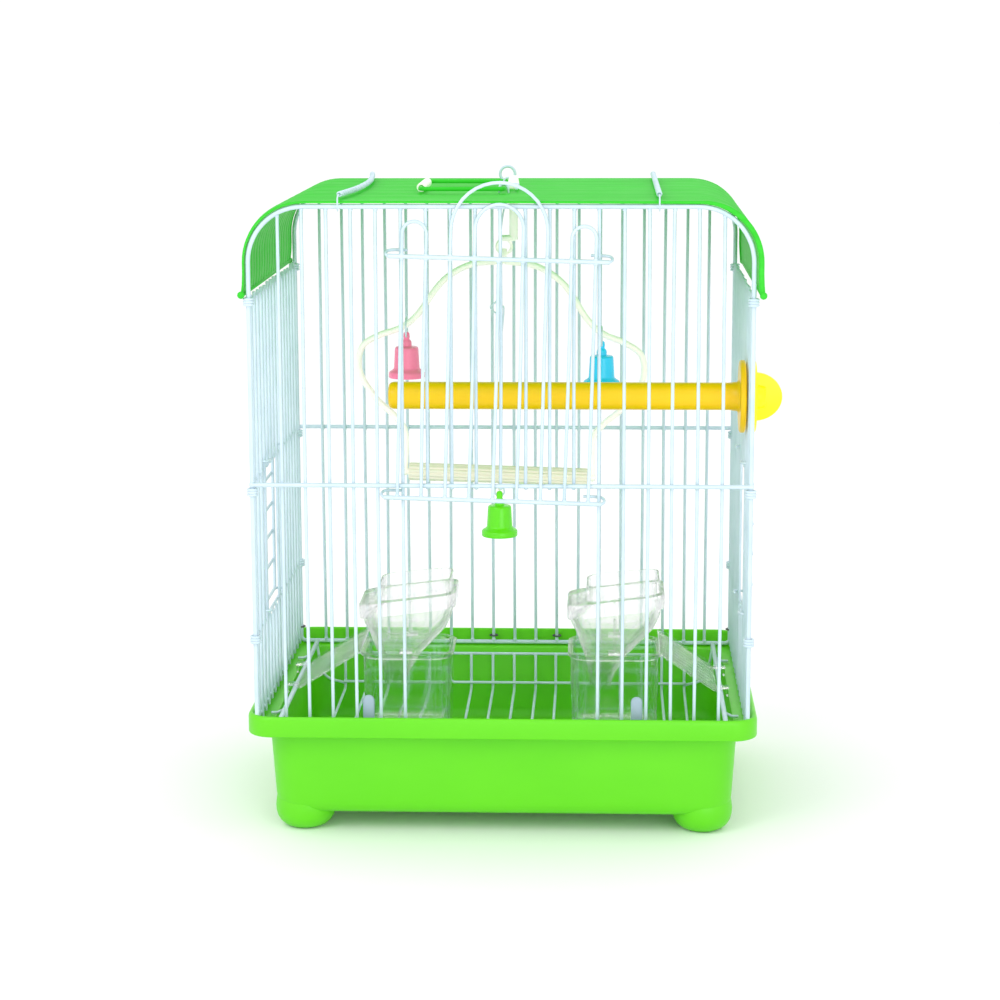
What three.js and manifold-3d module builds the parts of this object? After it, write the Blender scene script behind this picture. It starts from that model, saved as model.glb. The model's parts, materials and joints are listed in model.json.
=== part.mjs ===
// A table-top bird cage: a moulded tray on four feet, wire panels, a bent plastic roof sheet, and the fittings
// inside it. Millimetres, +X right, +Y to the back, +Z up; the floor is z = 0.
import * as THREE from "three";
import { mergeVertices } from "three/addons/utils/BufferGeometryUtils.js";
import Module from "manifold-3d";

const wasm = await Module();
wasm.setup();

// ---- Driving dimensions ----
const GAP = 0.3; // running gap that touching pieces keep
const RIM_W = 300; // tray rim, the widest moulded outline
const RIM_D = 230;
const RIM_TOP = 74.6;
const RIM_H = 12;
const RIM_R = 15;
const LEDGE_Z = 64.4; // shelf inside the rim that the wire panels stand on
const TRAY_W = 278; // tray body just under the rim
const TRAY_D = 208;
const TRAY_BOTTOM = 11;
const TRAY_WALL = 2;
const FOOT_R = 18;
const FOOT_X = 119;
const FOOT_Y = 83;

const FRAME_D = 2.8; // thick frame wire
const WIRE_D = 2; // thin welded wire
const PITCH = 14.1; // wire spacing
const HALF_W = 143.8; // frame wires, from the centre
const HALF_D = 108;
const BOTTOM_Z = 66.5;
const MID_Z = 212;
const LOW_Z = 120; // sill of the side feeder openings
const SHOULDER_Z = 318; // top wire of the side panels
const SIDE_BOTTOM_Z = BOTTOM_Z + 3.4;
const MID_TIE_DROP = 4.4; // the middle ties sit below the end panels' middle wires
const TOP_Z = 372.2;
const CORNER_R = 31.8;
const HOOK_R = 3.3; // centre line of the hooks that tie a side panel to a frame wire
const HOOK_D = 1.6;

const DOOR_PITCH = 13.75;
const DOOR_X = -2.6;
const DOOR_Y = -HALF_D - 4;
const DOOR_LOW_Z = 203.8; // lower bar with the door raised
const DOOR_BAR_H = 139;
const DOOR_TILT = 0.0285; // it hangs a little askew on its guides
const DOOR_BAR_HALF = 63;

const OPENING_FRONT_Y = -4 * PITCH; // side feeder opening
const OPENING_BACK_Y = 0;
const FEEDER_DOOR_X = HALF_W + 3.2;

const SHEET_T = 1.4; // roof sheet
const RIB_H = 0.6;
const RIB_PITCH = 11.4;
const ROOF_END_Z = 322;
const ROOF_BEAD_D = 3.2;
const SPRING_D = 2.8;
const SPRING_HALF = 98;
const HANGER_X = 4; // the swing's hanger goes through the sheet here
const HANGER_Y = -6;
const ROOF_SHIFT_X = 0.8; // the sheet sits a little to the right

const HANDLE_Y = -20; // middle of the folded handle
const HANDLE_HALF = 38;
const HANDLE_REACH = 49;
const HANDLE_D = 3;
const HANDLE_Z = 379.2;

const SWING_X = -2;
const SWING_AXIS_Z = 336;
const SWING_TILT = 0.03;
const SWING_PERCH_DROP = 136.4;
const SWING_PERCH_R = 5.5;
const SWING_HALF = 58;

const PERCH_Y = -4.5 * PITCH;
const PERCH_Z = 258;
const PERCH_R = 8.1;
const PERCH_FREE_X = -68;
const FLANGE_R = 21.4;
const KNOB_END_X = 163.8;

const FEEDER_W = 54.6;
const FEEDER_D = 56;
const FEEDER_WALL = 1.6;
const CUP_FLOOR_Z = 39.9;
const CUP_TOP_Z = 91;
const HOPPER_TOP_Z = 137;
const ARM_HALF_D = 31; // the ribbed arm that hooks a feeder to the grille
const ARM_TOP_Z = 94.4;
const ARM_DROP = 24;
const GRILLE_Z = 37.6;
const GRILLE_HALF_D = 95;
const GRILLE_WALL_Z = 63;
const GRILLE_RAIL_X = 132;
const GRILLE_RAIL_Z = 68.2;
const GRILLE_RAIL_D = 3;

// ---- Small helpers ----
const P = (x, y, z) => new THREE.Vector3(x, y, z);

function solidOf(geometry) {
  const bare = geometry.index ? geometry.toNonIndexed() : geometry.clone();
  bare.deleteAttribute("normal");
  bare.deleteAttribute("uv");
  const merged = mergeVertices(bare, 1e-4);
  return new wasm.Manifold(
    new wasm.Mesh({
      numProp: 3,
      vertProperties: merged.attributes.position.array,
      triVerts: new Uint32Array(merged.index.array),
    }),
  );
}

function geometryOf(solid) {
  const mesh = solid.getMesh();
  const geometry = new THREE.BufferGeometry();
  geometry.setAttribute("position", new THREE.BufferAttribute(mesh.vertProperties, 3));
  geometry.setIndex(new THREE.BufferAttribute(mesh.triVerts, 1));
  return geometry;
}

function join(geometries) {
  return geometryOf(geometries.map(solidOf).reduce((all, next) => all.add(next)));
}

function cut(body, tools) {
  return geometryOf(tools.map(solidOf).reduce((left, tool) => left.subtract(tool), solidOf(body)));
}

/** What is left of a piece inside the windows given. */
function within(geometry, windows) {
  const opening = windows.map(solidOf).reduce((all, next) => all.add(next));
  return geometryOf(solidOf(geometry).intersect(opening));
}

/** A curve through exactly the points given, with one extrusion step to each. */
class Route extends THREE.Curve {
  constructor(points) {
    super();
    this.points = points;
  }

  getPointAt(u) {
    return this.points[Math.round(u * (this.points.length - 1))].clone();
  }

  getTangentAt(u) {
    const last = this.points.length - 1;
    const i = Math.round(u * last);
    const before = this.points[Math.max(i - 1, 0)];
    const after = this.points[Math.min(i + 1, last)];
    return after.clone().sub(before).normalize();
  }
}

/** A polygon with the area of the ellipse that it stands for. */
function polygon(width, height, sides) {
  const step = (2 * Math.PI) / sides;
  const grow = Math.sqrt(step / Math.sin(step)) / 2;
  const points = Array.from({ length: sides }, (_, i) => {
    const a = (i + 0.5) * step;
    return new THREE.Vector2(grow * width * Math.cos(a), grow * height * Math.sin(a));
  });
  return new THREE.Shape(points);
}

function sweep(shape, points) {
  return new THREE.ExtrudeGeometry(shape, { steps: points.length - 1, extrudePath: new Route(points) });
}

function wire(points, diameter = WIRE_D, sides = 4) {
  return sweep(polygon(diameter, diameter, sides), points);
}

const outline = (points) => new THREE.Shape(points.map(([u, v]) => new THREE.Vector2(u, v)));

function plate(shape, thickness) {
  const flat = new THREE.ExtrudeGeometry(shape, { depth: thickness, bevelEnabled: false });
  return flat.translate(0, 0, -thickness / 2);
}

/**
 * A flat lattice of wires: one plate with a hole for each space between them. The holes shrink by a hair in
 * turn, because the triangulation drops corners that lie on one line.
 */
function lattice(border, holes) {
  const shape = outline(border);
  shape.holes = holes.map((hole, i) => {
    const middle = hole.reduce(([mu, mv], [u, v]) => [mu + u / hole.length, mv + v / hole.length], [0, 0]);
    const hair = 0.15 * ((0.618 * (i + 1)) % 1);
    const shrink = (value, centre) => value - Math.sign(value - centre) * hair;
    return outline(hole.map(([u, v]) => [shrink(u, middle[0]), shrink(v, middle[1])]));
  });
  return plate(shape, WIRE_D);
}

const rectangle = (u0, v0, u1, v1) => [[u0, v0], [u1, v0], [u1, v1], [u0, v1]];

/** The spaces between wires at the given places, from v0 to v1. */
const spaces = (places, v0, v1) =>
  places.slice(1).map((u, i) => rectangle(places[i] + WIRE_D / 2, v0, u - WIRE_D / 2, v1));

const facingY = (flat, y) => flat.rotateX(Math.PI / 2).translate(0, y, 0);
const facingX = (flat, x) => flat.rotateX(Math.PI / 2).rotateZ(Math.PI / 2).translate(x, 0, 0);

const every = (first, last, pitch) =>
  Array.from({ length: Math.round((last - first) / pitch) + 1 }, (_, i) => first + i * pitch);

/** Points on an arc in the plane of two unit vectors. */
function arc(centre, radius, from, to, steps, across = P(1, 0, 0), up = P(0, 0, 1)) {
  return Array.from({ length: steps + 1 }, (_, i) => {
    const a = from + ((to - from) * i) / steps;
    return centre
      .clone()
      .addScaledVector(across, radius * Math.cos(a))
      .addScaledVector(up, radius * Math.sin(a));
  });
}

function smooth(points, steps) {
  return new THREE.CatmullRomCurve3(points, false, "centripetal").getSpacedPoints(steps);
}

function box(width, depth, height, x, y, z) {
  return new THREE.BoxGeometry(width, depth, height).translate(x, y, z);
}

/** A block from one corner to the other. */
function span([x0, y0, z0], [x1, y1, z1]) {
  return box(x1 - x0, y1 - y0, z1 - z0, (x0 + x1) / 2, (y0 + y1) / 2, (z0 + z1) / 2);
}

/** A cylinder or cone along +Z, standing on z. */
function disc(radius, height, x, y, z, sides = 20, topRadius = radius) {
  return new THREE.CylinderGeometry(topRadius, radius, height, sides)
    .rotateX(Math.PI / 2)
    .translate(x, y, z + height / 2);
}

/** A cylinder along +X, starting at x. */
function rod(radius, length, x, y, z, sides = 20) {
  return new THREE.CylinderGeometry(radius, radius, length, sides)
    .rotateZ(Math.PI / 2)
    .translate(x + length / 2, y, z);
}

/** A ring whose axis is X, Y or Z. */
function ring(radius, diameter, axis, x, y, z, around = 8) {
  const torus = new THREE.TorusGeometry(radius, diameter / 2, 4, around);
  if (axis === "x") torus.rotateY(Math.PI / 2);
  if (axis === "y") torus.rotateX(Math.PI / 2);
  return torus.translate(x, y, z);
}

function turned(profile, sides) {
  const points = profile.map(([r, z]) => new THREE.Vector2(r, z));
  return new THREE.LatheGeometry(points, sides).rotateX(Math.PI / 2);
}

/** The points of a rectangle with round corners, four to a corner, anticlockwise. */
function roundedRing({ w, d, r, z, x = 0, y = 0 }) {
  const corners = [
    [1, 1],
    [-1, 1],
    [-1, -1],
    [1, -1],
  ];
  return corners.flatMap(([sx, sy], quarter) => {
    const centre = P(x + sx * (w / 2 - r), y + sy * (d / 2 - r), z);
    const start = (quarter * Math.PI) / 2;
    return arc(centre, r, start, start + Math.PI / 2, 3, P(1, 0, 0), P(0, 1, 0));
  });
}

/** A closed body through a stack of round-cornered rectangles, lowest first. */
function loft(levels) {
  const rings = levels.map(roundedRing);
  const n = rings[0].length;
  const positions = rings.flat().flatMap((p) => [p.x, p.y, p.z]);
  const index = [];
  rings.slice(1).forEach((_, level) => {
    for (let i = 0; i < n; i += 1) {
      const a = level * n + i;
      const b = level * n + ((i + 1) % n);
      index.push(a, b, a + n, b, b + n, a + n);
    }
  });
  const top = (rings.length - 1) * n;
  for (let i = 1; i < n - 1; i += 1) {
    index.push(0, i + 1, i);
    index.push(top, top + i, top + i + 1);
  }
  const geometry = new THREE.BufferGeometry();
  geometry.setAttribute("position", new THREE.Float32BufferAttribute(positions, 3));
  geometry.setIndex(index);
  return geometry;
}

const MATERIALS = {
  green: { color: 0x72e02e, roughness: 0.35 },
  roofGreen: { color: 0x55de55, roughness: 0.4 },
  whiteWire: { color: 0xdff0f8, roughness: 0.35 },
  darkWire: { color: 0x2a2c2e, roughness: 0.5, metalness: 0.6 },
  steel: { color: 0xc4c8cc, roughness: 0.3, metalness: 1 },
  yellow: { color: 0xffd400, roughness: 0.3 },
  ivory: { color: 0xfaf6e2, roughness: 0.45 },
  pink: { color: 0xf0729e, roughness: 0.3 },
  blue: { color: 0x28cdfa, roughness: 0.3 },
  bellGreen: { color: 0x64e614, roughness: 0.3 },
  clear: { color: 0xeaf4f2, roughness: 0.08, transparent: true, opacity: 0.35 },
  greyClip: { color: 0x9db4c2, roughness: 0.5 },
};

const cage = new THREE.Group();
// The perch knob passes the tray's right side, so the cage stands left of the origin by half as much.
cage.position.x = -(KNOB_END_X - RIM_W / 2) / 2;

function add(name, geometry, material, parent = cage) {
  const mesh = new THREE.Mesh(geometry, new THREE.MeshStandardMaterial(MATERIALS[material]));
  mesh.name = name;
  parent.add(mesh);
  return mesh;
}

// ---- Tray and floor grille ----
function tray() {
  const inset = (z) => 3.2 * ((LEDGE_Z - z) / (LEDGE_Z - TRAY_BOTTOM));
  const level = (z, shrink, r) => ({
    w: TRAY_W - 2 * (inset(z) + shrink),
    d: TRAY_D - 2 * (inset(z) + shrink),
    r,
    z,
  });
  const body = loft([
    level(TRAY_BOTTOM, 7, 12),
    level(TRAY_BOTTOM + 2.6, 2, 16),
    level(TRAY_BOTTOM + 8, 0, 18),
    level(RIM_TOP - 4, 0, 18),
  ]);
  const rim = loft([
    { w: RIM_W - 1.6, d: RIM_D - 1.6, r: RIM_R, z: RIM_TOP - RIM_H },
    { w: RIM_W, d: RIM_D, r: RIM_R, z: RIM_TOP - RIM_H + 1.4 },
    { w: RIM_W, d: RIM_D, r: RIM_R, z: RIM_TOP - 1.2 },
    { w: RIM_W - 2, d: RIM_D - 2, r: RIM_R - 1, z: RIM_TOP },
  ]);
  const skirtGap = cut(
    loft([
      { w: RIM_W - 4.4, d: RIM_D - 4.4, r: RIM_R - 2, z: RIM_TOP - RIM_H - 1 },
      { w: RIM_W - 4.4, d: RIM_D - 4.4, r: RIM_R - 2, z: LEDGE_Z - TRAY_WALL },
    ]),
    [body],
  );
  const feet = [-1, 1].flatMap((sx) =>
    [-1, 1].map((sy) =>
      turned(
        [
          [0, 0],
          [9, 0],
          [14.5, 2.4],
          [FOOT_R, 9],
          [FOOT_R, 22],
          [0, 22],
        ],
        16,
      ).translate(sx * FOOT_X, sy * FOOT_Y, 0),
    ),
  );
  const hollow = loft([
    level(TRAY_BOTTOM + TRAY_WALL, 9, 10),
    level(TRAY_BOTTOM + TRAY_WALL + 4, 3, 14),
    level(TRAY_BOTTOM + 12, TRAY_WALL, 16),
    level(LEDGE_Z + 1, TRAY_WALL, 16),
  ]);
  const pocket = loft([
    { w: RIM_W - 6.8, d: RIM_D - 6.8, r: 4, z: LEDGE_Z },
    { w: RIM_W - 6.2, d: RIM_D - 6.2, r: 4, z: RIM_TOP + 1 },
  ]);
  add("tray", cut(join([body, rim, ...feet]), [skirtGap, hollow, pocket]), "green");
}

/**
 * A shallow wire basket, in five pieces that stand a running gap apart: a flat floor, two end walls, and two
 * side rails that run above the ledge and rest on it through lugs.
 */
function floorGrille() {
  const columns = every(-8 * PITCH, 8 * PITCH, PITCH);
  const half = WIRE_D / 2;
  const edge = 8 * PITCH + half;
  const depth = GRILLE_HALF_D;
  const floor = lattice(rectangle(-edge, -depth, edge, depth), spaces(columns, WIRE_D - depth, depth - WIRE_D));
  add("grille_floor", floor.translate(0, 0, GRILLE_Z), "whiteWire");
  const low = GRILLE_Z + half + GAP;
  for (const [name, side] of [["grille_front_wall", -1], ["grille_back_wall", 1]]) {
    const border = rectangle(-edge, low, edge, GRILLE_WALL_Z);
    const wall = lattice(border, spaces(columns, low + WIRE_D, GRILLE_WALL_Z - WIRE_D));
    add(name, facingY(wall, side * (depth - half)), "whiteWire");
  }
  add("grille_left_rail", grilleRail(-1, edge), "whiteWire");
  add("grille_right_rail", grilleRail(1, edge), "whiteWire");
}

function grilleRail(side, edge) {
  const [x, z] = [side * GRILLE_RAIL_X, GRILLE_RAIL_Z];
  const parts = [wire([P(x, -98, z), P(x, 99, z)], GRILLE_RAIL_D)];
  for (const y of [1 - GRILLE_HALF_D, GRILLE_HALF_D - 1]) {
    parts.push(wire([P(side * (edge + 1.2), y, GRILLE_Z), P(side * 129, y, GRILLE_Z + 7), P(x, y, z)]));
  }
  for (const y of [-72, 62]) {
    parts.push(wire([P(x, y, z), P(side * 137, y, LEDGE_Z + 1.6), P(side * 140.6, y, LEDGE_Z + 1.6)]));
  }
  return join(parts);
}

// ---- Wire panels ----
/** The arched outline of an end panel, moved inwards by an inset, anticlockwise from the bottom left. */
function archOutline(inset) {
  const cx = HALF_W - CORNER_R;
  const cz = TOP_Z - CORNER_R;
  const r = CORNER_R - inset;
  const right = arc(P(cx, 0, cz), r, 0, Math.PI / 2, 6);
  const left = arc(P(-cx, 0, cz), r, Math.PI / 2, Math.PI, 6);
  const low = BOTTOM_Z + inset;
  return [[inset - HALF_W, low], [HALF_W - inset, low], ...[...right, ...left].map((p) => [p.x, p.z])];
}

/** Height of the inner edge of the frame at x. */
function innerTop(x) {
  const past = Math.max(0, Math.abs(x) - (HALF_W - CORNER_R));
  return TOP_Z - CORNER_R + Math.sqrt((CORNER_R - FRAME_D / 2) ** 2 - past ** 2);
}

function endPanel(side, openingColumns) {
  const half = WIRE_D / 2;
  const inner = HALF_W - FRAME_D / 2;
  const [low, sill, upper] = [BOTTOM_Z + FRAME_D / 2, MID_Z - half, MID_Z + half];
  const columns = every(-9 * PITCH, 9 * PITCH, PITCH);
  const opening = openingColumns * PITCH;
  const holes = spaces(columns, upper, TOP_Z);
  holes.forEach((hole) => hole.slice(2).forEach((corner) => (corner[1] = innerTop(corner[0]))));
  holes.push(...spaces(columns.filter((x) => x < 1 - opening), low, sill));
  holes.push(...spaces(columns.filter((x) => x > opening - 1), low, sill));
  if (opening) holes.push(rectangle(half - opening, low, opening - half, sill));
  for (const way of [-1, 1]) {
    const first = way * (9 * PITCH + half);
    const bend = [0, 0.5, 0.85, 1].map((t) => first + (way * inner - first) * t);
    holes.push([[first, upper], ...bend.map((x) => [x, innerTop(x)]), [way * inner, upper]]);
    holes.push(rectangle(first, low, way * inner, sill));
  }
  return facingY(lattice(archOutline(-FRAME_D / 2), holes), side * HALF_D);
}

function sidePanel(side) {
  const half = WIRE_D / 2;
  const x = side * HALF_W;
  const edge = 7 * PITCH + half;
  const columns = every(-7 * PITCH, 7 * PITCH, PITCH);
  const rows = [SIDE_BOTTOM_Z, LOW_Z, MID_Z, SHOULDER_Z];
  const holes = rows.slice(1).flatMap((z, i) => {
    const cells = spaces(columns, rows[i] + half, z - half);
    const opening = rectangle(OPENING_FRONT_Y + half, rows[i] + half, OPENING_BACK_Y - half, z - half);
    return z === MID_Z ? [...cells.slice(0, 3), opening, ...cells.slice(7)] : cells;
  });
  const flat = lattice(rectangle(-edge, rows[0] - half, edge, SHOULDER_Z + half), holes);
  const parts = [facingX(flat, x)];
  for (const z of [LOW_Z, MID_Z, SHOULDER_Z]) {
    const tieZ = z === MID_Z ? z - MID_TIE_DROP : z;
    for (const end of [-1, 1]) {
      parts.push(wire([P(x, end * (edge - 1), z), P(x, end * (HALF_D - HOOK_R), tieZ)], HOOK_D));
      parts.push(ring(HOOK_R, HOOK_D, "z", x, end * HALF_D, tieZ));
    }
  }
  return join(parts);
}

/** The front panel in four pieces round the door opening, a running gap apart. */
function frontPanel() {
  const whole = endPanel(-1, 4);
  const post = 4 * PITCH - WIRE_D / 2;
  const sill = MID_Z - WIRE_D / 2;
  const [out, front, back] = [HALF_W + 5, -HALF_D - 5, 5 - HALF_D];
  const piece = (name, x0, x1, z0, z1) => {
    add(name, within(whole, [span([x0, front, z0], [x1, back, z1])]), "whiteWire");
  };
  piece("front_panel", -out, out, sill, TOP_Z + 5);
  piece("front_left_grid", -out, -post, 0, sill - GAP);
  piece("front_right_grid", post, out, 0, sill - GAP);
  piece("front_bottom_wire", GAP - post, post - GAP, 0, BOTTOM_Z + 3);
}

/** A side panel in four pieces round the feeder opening, a running gap apart. */
function dividedSidePanel(side, name) {
  const whole = sidePanel(side);
  const half = WIRE_D / 2;
  const [frontY, backY] = [OPENING_FRONT_Y + half, OPENING_BACK_Y - half];
  const [low, sill, mid] = [LOW_Z - half, LOW_Z + half, MID_Z - half];
  const [near, far] = [side * HALF_W - 9, side * HALF_W + 9];
  const [reach, edge] = [HALF_D + 9, 7 * PITCH + half + GAP];
  const block = (y0, y1, z0, z1) => span([near, y0, z0], [far, y1, z1]);
  const piece = (node, windows) => add(node, within(whole, windows), "whiteWire");
  const ties = [block(-reach, -edge, mid - 9, mid + 1), block(edge, reach, mid - 9, mid + 1)];
  piece(name + "_panel", [block(-reach, reach, mid, SHOULDER_Z + 5), ...ties]);
  const sillWire = block(frontY + GAP, backY - GAP, low - 1, sill);
  piece(name + "_lower_grid", [block(-reach, reach, 0, low - GAP), sillWire]);
  piece(name + "_front_strip", [block(-reach, frontY, low, low + 5), block(-edge, frontY, low, mid - GAP)]);
  piece(name + "_back_strip", [block(backY, reach, low, low + 5), block(backY, edge, low, mid - GAP)]);
}

/** A flat round-topped loop that stands on the door's top bar. */
function doorArch(x, radius, foot) {
  const half = WIRE_D / 2;
  const bow = (r) => arc(P(x, 0, foot), r, 0, Math.PI, 8).map((p) => [p.x, p.z]);
  const base = DOOR_BAR_H / 2;
  const outside = [[x + radius + half, base], ...bow(radius + half), [x - radius - half, base]];
  const inside = [[x - radius + half, base], ...bow(radius - half).reverse(), [x + radius - half, base]];
  return facingY(plate(outline([...outside, ...inside]), WIRE_D), 0);
}

function frontDoor() {
  const half = WIRE_D / 2;
  const halfH = DOOR_BAR_H / 2;
  const edge = 4 * DOOR_PITCH + half;
  const columns = every(-4 * DOOR_PITCH, 4 * DOOR_PITCH, DOOR_PITCH);
  const border = rectangle(-edge, -halfH - half, edge, halfH + half);
  const parts = [facingY(lattice(border, spaces(columns, half - halfH, halfH - half)), 0)];
  for (const z of [-halfH, halfH]) {
    for (const side of [-1, 1]) {
      const bar = [P(side * (edge - 1), 0, z), P(side * (DOOR_BAR_HALF - 1), 0, z)];
      const bend = [P(side * (DOOR_BAR_HALF + 1), 3, z + 1.5), P(side * (DOOR_BAR_HALF - 1), 7, z + 3)];
      parts.push(wire([...bar, ...bend, P(side * (DOOR_BAR_HALF - 11), 7.2, z + 3)], 1.8));
    }
  }
  parts.push(doorArch(0, 2 * DOOR_PITCH, halfH + 15.5));
  parts.push(doorArch(0, DOOR_PITCH, halfH + 17));
  for (const side of [-1, 1]) {
    parts.push(doorArch(side * 3.5 * DOOR_PITCH, DOOR_PITCH / 2, halfH + 13));
  }
  const mesh = add("front_door", join(parts), "whiteWire");
  mesh.rotation.y = DOOR_TILT;
  mesh.position.set(DOOR_X, DOOR_Y, DOOR_LOW_Z + halfH);
}

/** A small ladder that slides up outside the side panel, hooked round the two wires beside the opening. */
function feederDoor(side, name) {
  const half = WIRE_D / 2;
  const x = side * FEEDER_DOOR_X;
  const low = 126;
  const rung = 18.3;
  const high = low + 5 * rung;
  const front = OPENING_FRONT_Y - 3.4;
  const back = OPENING_BACK_Y + 3.4;
  const rungs = every(low, high, rung);
  const holes = rungs.slice(1).map((z, i) => rectangle(front + half, rungs[i] + half, back - half, z - half));
  const border = rectangle(front - half, low - half, back + half, high + half);
  const parts = [facingX(lattice(border, holes), x)];
  for (const z of [low, high]) {
    for (const [y, way] of [[front, 1], [back, -1]]) {
      const inner = x - side * 6.2;
      parts.push(wire([P(x, y, z), P(inner, y, z), P(inner, y + way * 7, z)], 1.6));
    }
  }
  add(name, join(parts), "whiteWire");
}

// ---- Roof ----
function roofPath() {
  const clear = FRAME_D / 2 + GAP + 0.2;
  const left = -HALF_W - clear;
  const right = HALF_W + clear + 2 * ROOF_SHIFT_X;
  const top = TOP_Z + clear;
  const r = CORNER_R + clear;
  return [
    P(left - 1, 0, ROOF_END_Z),
    P(left, 0, ROOF_END_Z + 12),
    ...arc(P(left + r, 0, top - r), r, Math.PI, Math.PI / 2, 5),
    ...arc(P(right - r, 0, top - r), r, Math.PI / 2, 0, 5),
    P(right, 0, ROOF_END_Z + 12),
    P(right + 0.8, 0, ROOF_END_Z),
  ];
}

/** The sheet's section across its depth: flat below, ribbed above, with a bead along both edges. */
function roofSection() {
  const edge = HALF_D + 1.2;
  const up = (y, height) => new THREE.Vector2(-y, -height);
  const bead = [up(1.6 - edge, 3.1), up(-0.6 - edge, 2.9), up(-1 - edge, 1), up(-edge, 0)];
  const points = [up(edge, 0), up(edge + 1, 1), up(edge + 0.6, 2.9), up(edge - 1.4, 3.1)];
  for (let k = 9; k >= -9; k -= 1) {
    const y = k * RIB_PITCH;
    points.push(up(y + RIB_PITCH / 2, SHEET_T), up(y, SHEET_T + RIB_H));
  }
  return new THREE.Shape([...points, up(-9.5 * RIB_PITCH, SHEET_T), ...bead]);
}

function roof() {
  const path = roofPath();
  const ends = [path[0], path[path.length - 1]];
  const beads = ends.map((p) => {
    const x = p.x + Math.sign(p.x);
    return wire([P(x, -HALF_D - 2, p.z), P(x, HALF_D + 2, p.z)], ROOF_BEAD_D, 8);
  });
  const sheet = join([sweep(roofSection(), path), ...beads]);
  add("roof_cover", cut(sheet, [disc(3.6, 12, HANGER_X, HANGER_Y, TOP_Z - 4, 12)]), "roofGreen");
}

/** A close-wound tension spring stretched over the roof between the front and back rails. */
function roofSpring(name, x, bow) {
  const z = TOP_Z + 6.7;
  const reach = HALF_D + 5.6;
  const line = [P(x + bow * 0.8, -50, z), P(x + bow, 10, z), P(x + bow * 0.6, 60, z)];
  const body = smooth([P(x, -SPRING_HALF, z), ...line, P(x, SPRING_HALF, z)], 8);
  const hooks = [-1, 1].map((end) => {
    const over = [P(x, end * (SPRING_HALF - 4), z), P(x, end * (reach - 4), z), P(x, end * reach, z - 3)];
    return wire([...over, P(x, end * reach, TOP_Z - 1), P(x, end * (HALF_D + 1), TOP_Z - 3)], 1.1);
  });
  add(name, join([wire(body, SPRING_D, 6), ...hooks]), "whiteWire");
}

function carryHandle() {
  const fold = new THREE.Group();
  fold.position.set(0, HANDLE_Y, HANDLE_Z);
  cage.add(fold);
  const bend = 5;
  const corner = (side) => {
    const middle = P(-HANDLE_REACH + bend, side * (HANDLE_HALF - bend), 0);
    return arc(middle, bend, 0, Math.PI / 2, 3, P(0, side, 0), P(-1, 0, 0));
  };
  const far = [...corner(-1), ...corner(1).reverse()];
  const points = [P(0, -HANDLE_HALF + 9, 0), P(0, -HANDLE_HALF + 1.5, 0), P(-1.5, -HANDLE_HALF, 0), ...far];
  points.push(P(-1.5, HANDLE_HALF, 0), P(0, HANDLE_HALF - 1.5, 0), P(0, HANDLE_HALF - 9, 0));
  add("carry_handle", wire(points, HANDLE_D, 8), "roofGreen", fold);
  const sleeve = (r) => new THREE.CylinderGeometry(r, r, r > 2 ? 50 : 60, 12).translate(-HANDLE_REACH, 0, 0);
  add("handle_grip", cut(sleeve(2.7), [sleeve(HANDLE_D / 2 + GAP)]), "ivory", fold);
  for (const [name, side] of [["handle_staple_front", -1], ["handle_staple_back", 1]]) {
    const y = side * (HANDLE_HALF - 5.5);
    const over = arc(P(0, y, 0), HANDLE_D / 2 + 1.3, Math.PI, 0, 6);
    add(name, wire([P(-2.8, y, -2.8), ...over, P(2.8, y, -2.8)], 1.4), "whiteWire", fold);
  }
}

function hangingParts() {
  const [loopX, loopY] = [-1, 30];
  const loop = ring(4.6, 1.8, "y", loopX, loopY, HANDLE_Z + 3.8, 14);
  const base = box(4, 3, 2.4, loopX, loopY, HANDLE_Z - 1.6);
  add("hanging_loop", join([loop, base]), "whiteWire");
  swingHanger();
  hangerClip();
  const curl = arc(P(-6, -12, 305), 4, Math.PI / 2, 2 * Math.PI, 6);
  const strand = [P(1, -12, 371), P(-2, -12, 362), P(-4, -12, 345), P(-5, -12, 318), ...curl, P(-3, -12, 290)];
  add("hanger_wire", wire(strand, 1.1), "whiteWire");
}

/** A capped stem through the roof, with an eye below that the swing hangs from. */
function swingHanger() {
  const stemLow = 345;
  const stem = disc(2.6, TOP_Z - stemLow + 6, HANGER_X, HANGER_Y, stemLow, 12);
  const cap = new THREE.CylinderGeometry(3.6, 5.4, 7, 4, 1).rotateX(Math.PI / 2).rotateZ(Math.PI / 4);
  cap.translate(HANGER_X, HANGER_Y, TOP_Z + 8);
  const neck = box(9, 10, 3, 1, -3.5, stemLow + 1);
  const eye = ring(4.5, 1.8, "y", SWING_X, 0, SWING_AXIS_Z + 4.5, 14);
  const drop = wire([P(SWING_X, -1, stemLow + 1), P(SWING_X, 0, SWING_AXIS_Z + 8.6)], 3);
  add("swing_hanger", join([stem, cap, neck, drop, eye]), "ivory");
}

/** Three wire fingers on a cross wire, lying on the roof beside the cap. */
function hangerClip() {
  const z = HANDLE_Z;
  const fingers = [-3, 2, 7].map((x) => wire([P(x, -16, z), P(x, -34, z), P(x, -40, z - 1.4)], 1.6));
  const cross = wire([P(-4, -17, z), P(8, -17, z)], 1.8);
  add("hanger_clip", join([...fingers, cross]), "whiteWire");
}

// ---- Swing and bells ----
/** Half of the swing frame's outline, from the hub down to the perch end. */
function swingHalf(side) {
  const points = [
    [0, -4.4],
    [20, -7],
    [37, -17.5],
    [52, -38.5],
    [62, -47],
    [76, -52.5],
    [86, -60],
    [87, -75],
    [77, -91],
    [64, -103],
    [SWING_HALF, -113],
    [SWING_HALF, -SWING_PERCH_DROP],
  ];
  return smooth(points.map(([x, z]) => P(side * x, 0, z)), 18);
}

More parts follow.
